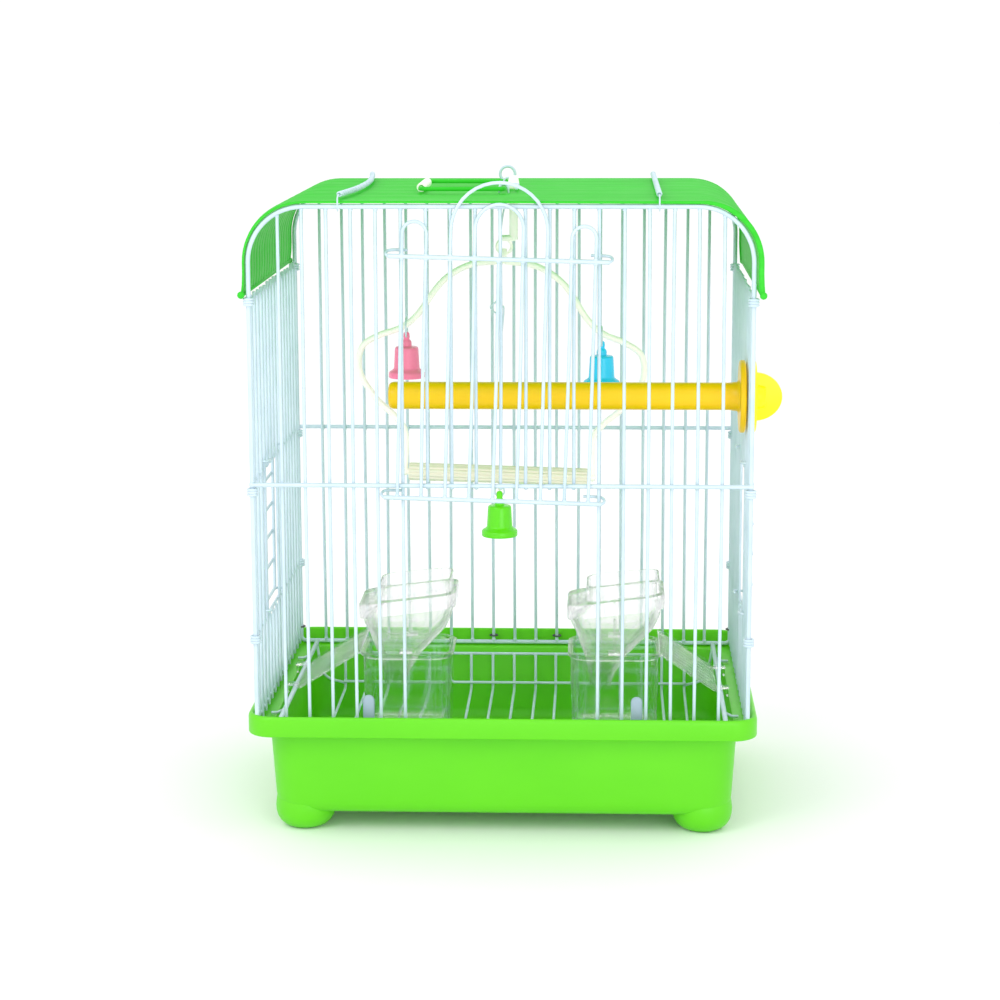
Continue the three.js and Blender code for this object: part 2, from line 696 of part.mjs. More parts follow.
function swing() {
  const group = new THREE.Group();
  group.position.set(SWING_X, 0, SWING_AXIS_Z);
  group.rotation.y = SWING_TILT;
  cage.add(group);
  const halves = [-1, 1].map((side) => sweep(polygon(3.4, 4.4, 4), swingHalf(side)));
  const pegs = [-SWING_HALF - 0.5, SWING_HALF - 8.5].map((x) => rod(2, 9, x, 0, -SWING_PERCH_DROP, 10));
  const hub = rod(3.3, 3, -1.5, 0, 0, 14);
  const frame = cut(join([...halves, ...pegs, hub, box(3, 4, 4, 0, 0, -3.6)]), [rod(1.5, 20, -10, 0, 0, 12)]);
  add("swing_frame", frame, "ivory", group);
  const half = SWING_HALF - 2.6;
  const flutes = Array.from({ length: 36 }, (_, i) => {
    const a = (2 * Math.PI * i) / 36;
    const r = SWING_PERCH_R - (i % 3 === 0 ? 0.7 : 0);
    return new THREE.Vector2(r * Math.cos(a), r * Math.sin(a));
  });
  const dowel = new THREE.ExtrudeGeometry(new THREE.Shape(flutes), { depth: 2 * half, bevelEnabled: false });
  dowel.translate(0, 0, -half).rotateY(Math.PI / 2).translate(0, 0, -SWING_PERCH_DROP);
  const lug = box(2, 3.4, 5, 1, 0, -SWING_PERCH_DROP - 7);
  const lugHole = rod(1.3, 6, -2, 0, -SWING_PERCH_DROP - 7.6, 10);
  const bores = [half - 9, -half - 1].map((x) => rod(2.4, 10, x, 0, -SWING_PERCH_DROP, 10));
  add("swing_perch", cut(join([dowel, lug]), [lugHole, ...bores]), "ivory", group);
}

/** A bell, the ring it hangs from and its clapper; z is the height of the ring's lowest centre line. */
function bell(name, material, x, z, ringAxis, ringR) {
  const mouth = z - 25;
  const profile = [
    [0, 28.2],
    [2.4, 27.8],
    [3.4, 25.6],
    [3.1, 23],
    [2.6, 20.6],
    [5.6, 19.4],
    [6.6, 16],
    [7.5, 6],
    [8.6, 4.2],
    [11.2, 3],
    [11.2, 0],
    [9.6, 0],
    [7.2, 3],
    [6.3, 5.6],
    [5.4, 15.6],
    [4.4, 17.8],
    [0, 17.8],
  ];
  const shell = turned(profile.reverse(), 12).translate(x, 0, mouth);
  add(name, cut(shell, [ring(ringR, 2.2, ringAxis, x, 0, z + ringR, 14)]), material);
  add(name + "_ring", ring(ringR, 1.2, ringAxis, x, 0, z + ringR, 10), "whiteWire");
  const ball = new THREE.SphereGeometry(2.3, 8, 6).translate(x, 0, mouth + 10);
  add(name + "_clapper", join([ball, disc(0.6, 6, x, 0, mouth + 11.3, 6)]), "steel");
}

// ---- Main perch ----
function mainPerch() {
  const endR = 3;
  const dowel = turned(
    [
      [0, 0],
      [PERCH_R - endR, 0],
      [PERCH_R - 0.9, 0.9],
      [PERCH_R, endR],
      [PERCH_R, HALF_W - 4 - PERCH_FREE_X],
      [0, HALF_W - 4 - PERCH_FREE_X],
    ],
    20,
  );
  dowel.rotateY(Math.PI / 2).translate(PERCH_FREE_X, PERCH_Y, PERCH_Z);
  const flangeX = HALF_W - 5.2;
  const flange = rod(FLANGE_R, 3.4, flangeX, PERCH_Y, PERCH_Z, 20);
  const stud = rod(3.8, 13, flangeX, PERCH_Y, PERCH_Z, 12);
  add("main_perch", join([dowel, flange, stud]), "yellow");
  const plateX = HALF_W + WIRE_D / 2 + 0.6;
  const plate = rod(FLANGE_R, 2.8, plateX, PERCH_Y, PERCH_Z, 20);
  const boss = rod(7, 8.5, plateX, PERCH_Y, PERCH_Z, 12);
  const grip = new THREE.Shape();
  grip.absarc(0, 0, 14.3, -Math.PI / 2, Math.PI / 2, false);
  const tab = new THREE.ExtrudeGeometry(grip, { depth: 5, bevelEnabled: false, curveSegments: 10 });
  tab.rotateX(Math.PI / 2).scale((KNOB_END_X - plateX - 2) / 14.3, 1, 1);
  tab.translate(plateX + 2, PERCH_Y + 2.5, PERCH_Z);
  const bore = rod(3.8 + GAP, 8.8, plateX - 1, PERCH_Y, PERCH_Z, 12);
  add("perch_nut", cut(join([plate, boss, tab]), [bore]), "yellow");
}

// ---- Feeders ----
function feeder(name, x, side) {
  const cupLevel = (z, shrink) => {
    return { w: FEEDER_W - 2 * shrink, d: FEEDER_D - 2 * shrink, r: 12 - shrink, z, x };
  };
  const cup = join([
    loft([cupLevel(CUP_FLOOR_Z, 1.6), cupLevel(CUP_FLOOR_Z + 3, 0.4), cupLevel(CUP_TOP_Z, 0)]),
    loft([cupLevel(CUP_TOP_Z - 1.6, -1.8), cupLevel(CUP_TOP_Z, -1.8)]),
  ]);
  const cupHollow = loft([
    cupLevel(CUP_FLOOR_Z + 2, 3.4),
    cupLevel(CUP_FLOOR_Z + 5, FEEDER_WALL + 0.4),
    cupLevel(CUP_TOP_Z + 1, FEEDER_WALL),
  ]);
  add(name + "_feeder_cup", cut(cup, [cupHollow]), "clear");
  const funnel = (t) => [
    { w: 13 - 2 * t, d: 13 - 2 * t, r: 6 - t, z: 66, x: x - 9 },
    { w: 16 - 2 * t, d: 16 - 2 * t, r: 6 - t, z: 74, x: x - 8 },
    { w: 48 - 2 * t, d: 46 - 2 * t, r: 10 - t, z: 111, x },
    { w: 49 - 2 * t, d: 47 - 2 * t, r: 10 - t, z: 122, x },
  ];
  const collar = (t) => [
    { w: 42 - 2 * t, d: 38 - 2 * t, r: 9 - t, z: 121, x: x + 3 },
    { w: 42 - 2 * t, d: 38 - 2 * t, r: 9 - t, z: HOPPER_TOP_Z, x: x + 3 },
  ];
  const lip = [120.5, 122.3].map((z) => ({ w: 51.6, d: 49.6, r: 11, z, x }));
  const spout = funnel(FEEDER_WALL);
  spout[0].z -= 1;
  const mouth = collar(FEEDER_WALL);
  mouth[0].z = 119;
  mouth[1].z += 1;
  const rests = [-1, 1].map((end) => box(8, 9, 1.8, x, end * (FEEDER_D / 2 - 4.1), CUP_TOP_Z + GAP + 0.9));
  const ribs = [-1, 1].map((end) => box(2, 8, 28, x, end * 20.4, 105.4));
  const body = join([loft(funnel(0)), loft(lip), loft(collar(0)), ...rests, ...ribs]);
  const roomy = spout.slice(0, 3).concat({ ...spout[3], z: 120.4 });
  add(name + "_feeder_hopper", cut(body, [loft(roomy), loft(mouth)]), "clear");
  feederArm(name, x, side);
}

/** The ribbed clear plate that slopes from the cup to the grille's side wire and hooks over it. */
function feederArm(name, x, side) {
  const innerX = side * (FEEDER_W / 2 + 0.5) + x;
  const run = Math.abs(side * (GRILLE_RAIL_X - 2.4) - innerX);
  const length = Math.hypot(run, ARM_DROP);
  const slope = Math.atan2(ARM_DROP, run);
  const half = ARM_HALF_D;
  const plate = [box(length, 2 * half, 1.6, length / 2, 0, 0)];
  for (const y of [-half + 1, -half / 2, 0, half / 2, half - 1]) {
    plate.push(box(length - 1, 1.8, 3.6, length / 2, y, 0));
  }
  const arm = join(plate).rotateY(slope).translate(0, 0, ARM_TOP_Z);
  const hooks = [-half + 6, half - 6].flatMap((y) => [
    box(9, 6, 1.6, run + 2.6, y, GRILLE_RAIL_Z + 3.2),
    box(1.6, 6, 6, run + 6.3, y, GRILLE_RAIL_Z + 1),
  ]);
  const whole = join([arm, ...hooks]);
  if (side < 0) whole.rotateZ(Math.PI);
  add(name + "_feeder_arm", whole.translate(innerX, 0, 0), "clear");
}

// ---- Small clips ----
function clips() {
  const [half, low, high] = [3.4, -10, 4];
  for (const [name, x] of [["left_tray_clip", -78.3], ["right_tray_clip", 79.2]]) {
    const shape = new THREE.Shape();
    shape.moveTo(-half, low);
    shape.lineTo(half, low);
    shape.lineTo(half, high);
    shape.absarc(0, high, half, 0, Math.PI, false);
    shape.lineTo(-half, low);
    const tab = new THREE.ExtrudeGeometry(shape, { depth: 2.4, bevelEnabled: false, curveSegments: 6 });
    add(name, tab.rotateX(Math.PI / 2).translate(x, -HALF_D + 5.4, RIM_TOP + 3.8), "greyClip");
  }
  [-HALF_W, -PITCH, 2 * PITCH, HALF_W].forEach((x, i) => {
    const z = Math.abs(x) === HALF_W ? RIM_TOP + 1.6 : BOTTOM_Z + 4.5;
    add("bottom_clip_" + (i + 1), ring(2.5, 1, "z", x, HALF_D, z), "darkWire");
  });
}

tray();
floorGrille();
frontPanel();
add("back_panel", endPanel(1, 0), "whiteWire");
dividedSidePanel(-1, "left");
dividedSidePanel(1, "right");
frontDoor();
feederDoor(-1, "left_feeder_door");
feederDoor(1, "right_feeder_door");
roof();
roofSpring("left_roof_spring", -91.5, 6);
roofSpring("right_roof_spring", 90, 0);
carryHandle();
hangingParts();
swing();
bell("pink_bell", "pink", -62.2, 285, "x", 6);
bell("blue_bell", "blue", 57.6, 279.7, "x", 6);
bell("green_bell", "bellGreen", -5.3, 186, "y", 3);
mainPerch();
feeder("left", -62.5, -1);
feeder("right", 66.5, 1);
clips();

const root = new THREE.Group();
root.add(cage);
export default root;
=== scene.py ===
"""The finished look of a table-top wire bird cage: tray, wire panels, bent roof sheet, swing, bells and feeders.

Metres, +X to the right seen from the door, +Y to the back, +Z up. Shapes are drawn in millimetres from the middle
of the cage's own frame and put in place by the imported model's boxes.
"""
import json
import math
import random

import bmesh
import bpy
from mathutils import Matrix, Vector


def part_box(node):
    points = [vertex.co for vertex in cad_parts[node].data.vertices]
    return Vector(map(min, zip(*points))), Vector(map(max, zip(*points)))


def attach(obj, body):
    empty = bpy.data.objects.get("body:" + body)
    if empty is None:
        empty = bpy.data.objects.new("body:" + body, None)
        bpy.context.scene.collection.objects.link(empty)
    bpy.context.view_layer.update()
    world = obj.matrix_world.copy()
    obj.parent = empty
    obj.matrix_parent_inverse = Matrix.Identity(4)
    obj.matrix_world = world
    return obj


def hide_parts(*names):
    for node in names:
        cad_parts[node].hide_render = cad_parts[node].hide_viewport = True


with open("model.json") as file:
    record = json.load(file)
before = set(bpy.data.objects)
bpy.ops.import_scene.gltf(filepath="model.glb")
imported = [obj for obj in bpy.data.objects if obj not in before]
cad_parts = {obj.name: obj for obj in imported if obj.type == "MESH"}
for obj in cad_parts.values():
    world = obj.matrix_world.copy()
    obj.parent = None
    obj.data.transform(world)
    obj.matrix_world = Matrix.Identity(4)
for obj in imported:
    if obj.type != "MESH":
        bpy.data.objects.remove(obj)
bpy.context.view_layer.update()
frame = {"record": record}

MM = 0.001
X, Y, Z = Vector((1, 0, 0)), Vector((0, 1, 0)), Vector((0, 0, 1))
RECORD = frame["record"]
BODY_OF = {node: body for body, nodes in RECORD["behaviour"]["bodies"].items() for node in nodes}
SLOT_OF = {part["node"]: part["material_slot"] for part in RECORD["subparts"]}


def span(node):
    """A node's lowest and highest corners in millimetres from the cage's middle."""
    low, high = (Vector(corner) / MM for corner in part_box(node))
    return low - CENTRE, high - CENTRE


CENTRE = Vector(((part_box("back_panel")[0][0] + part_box("back_panel")[1][0]) / 2 / MM, 0, 0))

# ---- Driving dimensions, millimetres ----
RAIL = 2.8  # thick frame wire
WIRE = 2.0  # thin welded wire
TIE = 1.6
PITCH = 14.1
HALF_W = span("back_panel")[1].x - RAIL / 2
FRONT_Y = (span("front_panel")[0].y + span("front_panel")[1].y) / 2
BACK_Y = (span("back_panel")[0].y + span("back_panel")[1].y) / 2
BOTTOM_Z = span("back_panel")[0].z + RAIL / 2
TOP_Z = span("back_panel")[1].z - RAIL / 2
MID_Z = 212
SILL_Z = 120
SHOULDER_Z = span("left_panel")[1].z - WIRE / 2
CORNER_R = 31.8
TRAY_LOW, TRAY_HIGH = span("tray")
LEDGE_Z = 64.4
WALL = 2.0
HANGER = (4.0, -6.0)  # where the swing's hanger passes through the roof
POST_FOOT_Z = 345


def place(x, y, z):
    return (Vector((x, y, z)) + CENTRE) * MM


# ---- Shader building ----
class Socket:
    """A node's output that takes Python's arithmetic, each sign adding one Math node."""

    def __init__(self, finish, output):
        self.finish = finish
        self.output = output

    def math(self, operation, first, second):
        return self.finish.node("ShaderNodeMath", {"operation": operation}, {0: first, 1: second})

    def __add__(self, other):
        return self.math("ADD", self, other)

    __radd__ = __add__

    def __sub__(self, other):
        return self.math("SUBTRACT", self, other)

    def __rsub__(self, other):
        return self.math("SUBTRACT", other, self)

    def __mul__(self, other):
        return self.math("MULTIPLY", self, other)

    __rmul__ = __mul__

    def __pow__(self, other):
        return self.math("POWER", self, other)


class Finish:
    """One material: a Principled shader, its constants and the nodes that vary it."""

    def __init__(self, name, constants):
        self.material = bpy.data.materials.new(name)
        self.material.use_nodes = True
        self.tree = self.material.node_tree
        self.shader = self.tree.nodes["Principled BSDF"]
        for socket, value in constants.items():
            self.shader.inputs[socket].default_value = value
        self.where = self.node("ShaderNodeTexCoord", {}, {}, "Object")

    def node(self, kind, settings, sockets, output=0):
        made = self.tree.nodes.new(kind)
        for key, value in settings.items():
            if key == "stops":
                self.set_stops(made.color_ramp, value)
            else:
                setattr(made, key, value)
        for key, value in sockets.items():
            self.feed(made.inputs[key], value)
        return Socket(self, made.outputs[output])

    def set_stops(self, ramp, stops):
        while len(ramp.elements) < len(stops):
            ramp.elements.new(0.5)
        for element, (position, colour) in zip(ramp.elements, stops):
            element.position = position
            element.color = colour

    def feed(self, socket, value):
        if isinstance(value, Socket):
            self.tree.links.new(value.output, socket)
        else:
            socket.default_value = value

    def stretch(self, scale):
        return self.node("ShaderNodeMapping", {}, {"Vector": self.where, "Scale": scale})

    def noise(self, scale, detail=3.0, where=None, roughness=0.5):
        sockets = {"Vector": where or self.where, "Scale": scale, "Detail": detail, "Roughness": roughness}
        return self.node("ShaderNodeTexNoise", {"noise_dimensions": "3D"}, sockets, "Fac")

    def ramp(self, factor, low, high, start=0.0, end=1.0):
        stops = ((start, (low, low, low, 1)), (end, (high, high, high, 1)))
        return self.node("ShaderNodeValToRGB", {"stops": stops}, {"Fac": factor})

    def mix(self, factor, first, second):
        sockets = {0: factor, 6: (*first, 1), 7: (*second, 1)}
        return self.node("ShaderNodeMix", {"data_type": "RGBA"}, sockets, 2)

    def colour(self, factor, first, second):
        self.feed(self.shader.inputs["Base Color"], self.mix(factor, first, second))

    def roughness(self, factor, low, high):
        self.feed(self.shader.inputs["Roughness"], factor * (high - low) + low)

    def bump(self, height, distance, strength=1.0):
        bumped = self.node("ShaderNodeBump", {}, {"Height": height, "Distance": distance, "Strength": strength})
        self.feed(self.shader.inputs["Normal"], bumped)


def moulded(name, bright, deep, gloss=0.3, grain=0.00002, painted_glow=0.0):
    """Injection-moulded plastic: flow marks, a fine grain, handling marks, and a painted glow, an even emission in
    the bright colour.
    """
    # The emission strength is painted light: the plastic glows in its own bright colour though it is no lamp.
    finish = Finish(name, {"IOR": 1.42, "Coat Weight": 0.05, "Coat Roughness": 0.2, "Emission Strength": painted_glow})
    finish.feed(finish.shader.inputs["Emission Color"], (*bright, 1))
    flow = finish.noise(14, 4, finish.stretch((1, 1, 2.5)))
    finish.colour(finish.ramp(flow, 0.0, 1.0, 0.3, 0.75), bright, deep)
    marks = finish.noise(90, 5, finish.stretch((1, 1, 3)), 0.7)
    finish.roughness(marks, gloss - 0.06, gloss + 0.14)
    finish.bump(finish.noise(1500, 2) + 0.6 * finish.noise(260, 2), grain)
    return finish.material


def ribbed_sheet(name):
    """Extruded roof sheet with fine draw lines running across the cage."""
    finish = Finish(name, {"IOR": 1.3, "Specular IOR Level": 0.12})
    draw = finish.noise(900, 2, finish.stretch((0.02, 1, 0.4)))
    cloud = finish.noise(9, 3)
    shade_of_green = finish.ramp(0.6 * draw + 0.4 * cloud, 0.0, 1.0, 0.35, 0.7)
    finish.colour(shade_of_green, (0.058, 0.64, 0.048), (0.042, 0.55, 0.034))
    finish.roughness(finish.noise(60, 4), 0.3, 0.48)
    finish.bump(draw + 0.5 * finish.noise(1300, 2), 0.00006)
    return finish.material


def coated_wire(name):
    """White powder coat with a cold tint: orange peel, thinner and greyer in places."""
    finish = Finish(name, {"IOR": 1.5, "Coat Weight": 0.25, "Coat Roughness": 0.15})
    thin = finish.noise(55, 4)
    finish.colour(finish.ramp(thin, 0.0, 1.0, 0.4, 0.8), (0.63, 0.765, 0.86), (0.52, 0.675, 0.755))
    finish.roughness(finish.noise(200, 3), 0.22, 0.42)
    finish.bump(finish.noise(900, 2) + 0.5 * finish.noise(350, 3), 0.00006)
    return finish.material


def tie_wire(name):
    """Dark uncoated tie rings with drawn-steel streaks."""
    finish = Finish(name, {"Metallic": 0.85})
    streak = finish.noise(700, 3, finish.stretch((1, 1, 0.2)))
    finish.colour(streak, (0.05, 0.055, 0.06), (0.16, 0.165, 0.17))
    finish.roughness(streak, 0.3, 0.55)
    return finish.material


def plated(name):
    """Nickel-plated clappers with fine handling scratches."""
    finish = Finish(name, {"Metallic": 1.0})
    haze = finish.noise(300, 4)
    finish.colour(haze, (0.66, 0.67, 0.68), (0.5, 0.5, 0.5))
    finish.roughness(haze, 0.1, 0.32)
    return finish.material


def clear_plastic(name):
    """Clear polystyrene: thin faces nearly vanish, a painted shade by viewing angle turns the edges grey-green, with
    moulding swirls.
    """
    finish = Finish(name, {"IOR": 1.35, "Transmission Weight": 1.0})
    swirl = finish.noise(40, 4, finish.stretch((1, 1, 0.5)))
    finish.roughness(finish.noise(120, 4), 0.01, 0.07)
    facing = finish.node("ShaderNodeLayerWeight", {}, {"Blend": 0.35}, "Facing")
    # Painted shade: the base colour goes from white face-on to grey-green where the surface turns edge-on to the
    # view.
    edge = finish.ramp(facing, 0.0, 1.0, 0.35, 0.95)
    finish.colour(edge * 0.9 + swirl * 0.1, (1.0, 1.0, 1.0), (0.62, 0.70, 0.66))
    finish.feed(finish.shader.inputs["Alpha"], finish.ramp(facing, 0.24, 0.95, 0.15, 0.85))
    finish.bump(swirl + 0.3 * finish.noise(400, 2), 0.0002)
    return finish.material


FINISHES = {
    "green_plastic": moulded("green_plastic", (0.133, 0.67, 0.007), (0.118, 0.635, 0.005), 0.36),
    "roof_plastic": ribbed_sheet("roof_plastic"),
    "white_wire": coated_wire("white_wire"),
    "dark_wire": tie_wire("dark_wire"),
    "steel": plated("steel"),
    "yellow_plastic": moulded("yellow_plastic", (0.94, 0.60, 0.0), (0.91, 0.56, 0.0), 0.3),
    # Ivory, pink, blue, bell green and lemon plastic take a painted glow (emission) as their last number.
    "ivory_plastic": moulded("ivory_plastic", (0.97, 0.955, 0.885), (0.95, 0.93, 0.85), 0.36, 0.00003, 0.12),
    "pink_plastic": moulded("pink_plastic", (0.93, 0.23, 0.40), (0.90, 0.20, 0.36), 0.2, painted_glow=0.14),
    "blue_plastic": moulded("blue_plastic", (0.03, 0.60, 0.95), (0.02, 0.56, 0.92), 0.2, painted_glow=0.12),
    "bell_green_plastic": moulded("bell_green_plastic", (0.13, 0.74, 0.01), (0.11, 0.68, 0.008), 0.2, painted_glow=0.1),
    "clear_plastic": clear_plastic("clear_plastic"),
    "swing_perch": moulded("cream_plastic", (0.88, 0.85, 0.71), (0.83, 0.80, 0.65), 0.4, 0.00004),
    "perch_nut": moulded("lemon_plastic", (0.97, 0.80, 0.0), (0.95, 0.75, 0.0), 0.3, painted_glow=0.12),
    "clip_plastic": moulded("clip_plastic", (0.38, 0.49, 0.58), (0.32, 0.43, 0.52), 0.45),
}


# ---- Piece building ----
def shade(mesh, angle=35):
    mesh.shade_smooth()
    mesh.set_sharp_from_angle(angle=math.radians(angle))


def settle(nodes, kind, mesh, angle=35):
    """Puts a finished mesh in the scene in place of its nodes, on the first one's body and in its slot."""
    first = nodes[0]
    shade(mesh, angle)
    piece = bpy.data.objects.new(f"{first}_{kind}", mesh)
    mesh.materials.append(FINISHES.get(first, FINISHES[SLOT_OF[first]]))
    bpy.context.collection.objects.link(piece)
    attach(piece, BODY_OF[first])
    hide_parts(*nodes)


def clean(bm):
    bmesh.ops.remove_doubles(bm, verts=bm.verts, dist=0.002 * MM)
    bmesh.ops.recalc_face_normals(bm, faces=bm.faces)


def moulding(node, bm, angle=35):
    clean(bm)
    mesh = bpy.data.meshes.new(node)
    bm.to_mesh(mesh)
    bm.free()
    settle([node], "moulding", mesh, angle)


def loft(bm, rings, capped=True):
    """Draws a skin through a stack of rings with equal counts, by extruding the first one up through the rest."""
    verts = [bm.verts.new(point) for point in rings[0]]
    edges = [bm.edges.new(pair) for pair in zip(verts, verts[1:] + verts[:1])]
    if capped:
        bmesh.ops.contextual_create(bm, geom=edges)
    for ring in rings[1:]:
        made = bmesh.ops.extrude_edge_only(bm, edges=edges)["geom"]
        above = {v.co.to_tuple(7): v for v in made if isinstance(v, bmesh.types.BMVert)}
        verts = [above[v.co.to_tuple(7)] for v in verts]
        for vert, point in zip(verts, ring):
            vert.co = point
        edges = [bm.edges.get(pair) for pair in zip(verts, verts[1:] + verts[:1])]
    if capped:
        bmesh.ops.contextual_create(bm, geom=edges)


def rounded(w, d, r, z, x=0.0, y=0.0, slope=0.0, steps=6):
    """A round-cornered rectangle; slope tilts it along X."""
    points = []
    for quarter, (sx, sy) in enumerate(((1, 1), (-1, 1), (-1, -1), (1, -1))):
        for i in range(steps + 1):
            a = (quarter + i / steps) * math.pi / 2
            px = sx * (w / 2 - r) + r * math.cos(a)
            py = sy * (d / 2 - r) + r * math.sin(a)
            points.append(place(x + px, y + py, z + slope * px))
    return points


def turn(bm, profile, centre, axis=Z, side=X, steps=32):
    """Spins a profile of (radius, height) round an axis through the centre."""
    verts = [bm.verts.new(place(*centre) + (side * r + axis * h) * MM) for r, h in profile]
    edges = [bm.edges.new(pair) for pair in zip(verts, verts[1:])]
    whole = 2 * math.pi
    centre = place(*centre)
    bmesh.ops.spin(bm, geom=verts + edges, cent=centre, axis=axis, angle=whole, steps=steps, use_merge=True)


def block(bm, size, centre, bevel=0.4, turned=None):
    """A bevelled block; turned is a rotation about its own centre."""
    matrix = Matrix.Translation(place(*centre)) @ (turned or Matrix()) @ Matrix.Diagonal((*(Vector(size) * MM), 1))
    verts = bmesh.ops.create_cube(bm, size=1, matrix=matrix)["verts"]
    edges = list({edge for vert in verts for edge in vert.link_edges})
    bmesh.ops.bevel(
        bm, geom=edges, offset=bevel * MM, segments=2, affect="EDGES", profile=0.5, material=-1, clamp_overlap=True
    )


def arc(centre, radius, start, end, steps, across=X, up=Z):
    """Points on an arc in the plane of two unit vectors, angles in degrees."""
    middle = Vector(centre)
    angles = [math.radians(start + (end - start) * i / steps) for i in range(steps + 1)]
    return [middle + across * radius * math.cos(a) + up * radius * math.sin(a) for a in angles]


def smooth_line(points, steps=8):
    """A Catmull-Rom curve through the points."""
    knots = [Vector(p) for p in points]
    knots = [2 * knots[0] - knots[1], *knots, 2 * knots[-1] - knots[-2]]
    line = []
    for a, b, c, d in zip(knots, knots[1:], knots[2:], knots[3:]):
        for i in range(steps):
            t = i / steps
            line.append(
                0.5 * ((2 * b) + (c - a) * t + (2 * a - 5 * b + 4 * c - d) * t**2 + (3 * b - a - 3 * c + d) * t**3)
            )
    return [*line, knots[-2]]


class Wirework:
    """Round wires and the small beads of weld where they cross, gathered into one mesh."""

    def __init__(self, sides=2):
        self.curve = bpy.data.curves.new("wirework", "CURVE")
        self.curve.dimensions = "3D"
        self.curve.bevel_depth = MM
        self.curve.bevel_resolution = sides
        self.curve.use_fill_caps = True
        self.beads = []

    def run(self, points, diameter=WIRE, closed=False, taper=None):
        points = [Vector(p) for p in points]
        radii = [diameter / 2] * len(points)
        if taper:
            radii = [diameter / 2 * taper(i / (len(points) - 1)) for i in range(len(points))]
        if not closed:
            points, radii = self.round_ends(points, radii)
        spline = self.curve.splines.new("POLY")
        spline.points.add(len(points) - 1)
        spline.use_cyclic_u = closed
        for knot, point, radius in zip(spline.points, points, radii):
            knot.co = (*place(*point), 1)
            knot.radius = radius

    @staticmethod
    def round_ends(points, radii):
        for _ in range(2):
            step = (points[1] - points[0]).normalized() * radii[0]
            points = [points[0], points[0] + step * 0.12, points[0] + step * 0.45, *points[1:]]
            radii = [radii[0] * 0.5, radii[0] * 0.8, *radii]
            points.reverse()
            radii.reverse()
        return points, radii

    def ring(self, centre, radius, diameter, across=X, up=Z, steps=24):
        self.run(arc(centre, radius, 0, 360, steps, across, up)[:-1], diameter, closed=True)

    def weld(self, *centre, size=1.35):
        self.beads.append((Vector(centre), size))

    def mesh(self):
        maker = bpy.data.objects.new("wirework", self.curve)
        bpy.context.collection.objects.link(maker)
        depsgraph = bpy.context.evaluated_depsgraph_get()
        mesh = bpy.data.meshes.new_from_object(maker.evaluated_get(depsgraph))
        bpy.data.objects.remove(maker)
        mesh.materials.clear()
        bm = bmesh.new()
        bm.from_mesh(mesh)
        for centre, size in self.beads:
            matrix = Matrix.Translation(place(*centre))
            bmesh.ops.create_icosphere(bm, subdivisions=2, radius=size * MM, matrix=matrix)
        clean(bm)
        bm.to_mesh(mesh)
        bm.free()
        return mesh

    def settle(self, *nodes):
        settle(nodes, "wires", self.mesh(), 50)


hand = random.Random(11)


def waver(amount=0.35):
    return hand.uniform(-amount, amount)


def steps_of(first, last, pitch=PITCH):
    return [first + i * pitch for i in range(round((last - first) / pitch) + 1)]


# ---- Tray and floor grille ----
def tray():
    rim_w, rim_d = 2 * -TRAY_LOW.x, (TRAY_HIGH - TRAY_LOW).y
    top, floor = TRAY_HIGH.z, 11.0
    body_w, body_d = 278.0, 208.0

    def lean(z, shrink, r):
        inset = 3.2 * (LEDGE_Z - z) / (LEDGE_Z - floor) + shrink
        return rounded(body_w - 2 * inset, body_d - 2 * inset, r, z, steps=8)

    def rim(shrink, r, z):
        return rounded(rim_w - 2 * shrink, rim_d - 2 * shrink, r, z, steps=8)

    outside = [
        lean(floor, 9, 10),
        lean(floor + 0.5, 6, 12),
        lean(floor + 1.6, 3.4, 14),
        lean(floor + 3.6, 1.4, 16),
        lean(floor + 7, 0.3, 17.5),
        lean(floor + 10, 0, 18),
        lean(top - 12.9, 0, 18),
        lean(top - 12.3, -0.4, 18),
    ]
    skirt = [
        rim(2.6, 13, top - 12.0),
        rim(2.4, 13, top - 12.3),
        rim(0.9, 14.4, top - 12.4),
        rim(0.3, 14.8, top - 12.0),
        rim(0.0, 15, top - 11.2),
        rim(0.0, 15, top - 2.4),
        rim(0.2, 15, top - 1.2),
        rim(0.8, 14.6, top - 0.35),
        rim(1.6, 14, top),
        rim(2.4, 13.4, top - 0.2),
        rim(3.0, 12.8, top - 1.0),
        rim(3.3, 12.5, top - 4),
        rim(3.4, 12.4, LEDGE_Z + 1.2),
        rim(4.6, 11.4, LEDGE_Z + 0.1),
        rim(6.0, 11, LEDGE_Z),
    ]
    inside = [
        lean(LEDGE_Z, WALL - 1.2, 17),
        lean(LEDGE_Z - 0.4, WALL - 0.3, 16.4),
        lean(LEDGE_Z - 1.4, WALL, 16),
        lean(floor + 12, WALL, 16),
        lean(floor + 8, WALL + 0.8, 15),
        lean(floor + 4.4, WALL + 3.2, 13),
        lean(floor + 2.4, WALL + 7, 10),
        lean(floor + WALL, WALL + 12, 8),
    ]
    bm = bmesh.new()
    loft(bm, outside + skirt + inside)
    clean(bm)
    mesh = bpy.data.meshes.new("tray")
    bm.to_mesh(mesh)
    bm.free()
    mesh = joined(mesh, tray_feet(floor, body_w, body_d))
    settle(["tray"], "moulding", mesh, 30)


def tray_feet(floor, body_w, body_d):
    """Four round feet, cut off where they would stand inside the tray."""
    bm = bmesh.new()
    dome = [(0, 0), (8.2, 0), (10.4, 0.35), (13, 1.6), (15.4, 3.8), (17, 6.6), (17.8, 9.8), (18, 13), (17.4, 18)]
    dome += [(15, 23), (10, 26), (0, 27)]
    for x in (-119, 119):
        for y in (-83, 83):
            turn(bm, dome, (x, y, 0))
    clean(bm)
    feet = bpy.data.meshes.new("feet")
    bm.to_mesh(feet)
    bm.clear()
    size = (body_w - 9, body_d - 9)
    low = rounded(size[0] - 20, size[1] - 20, 8, floor + 0.8)
    loft(bm, [low, rounded(*size, 14, floor + 8), rounded(*size, 14, floor + 40)])
    clean(bm)
    hollow = bpy.data.meshes.new("hollow")
    bm.to_mesh(hollow)
    bm.free()
    return boolean(feet, hollow, "DIFFERENCE")


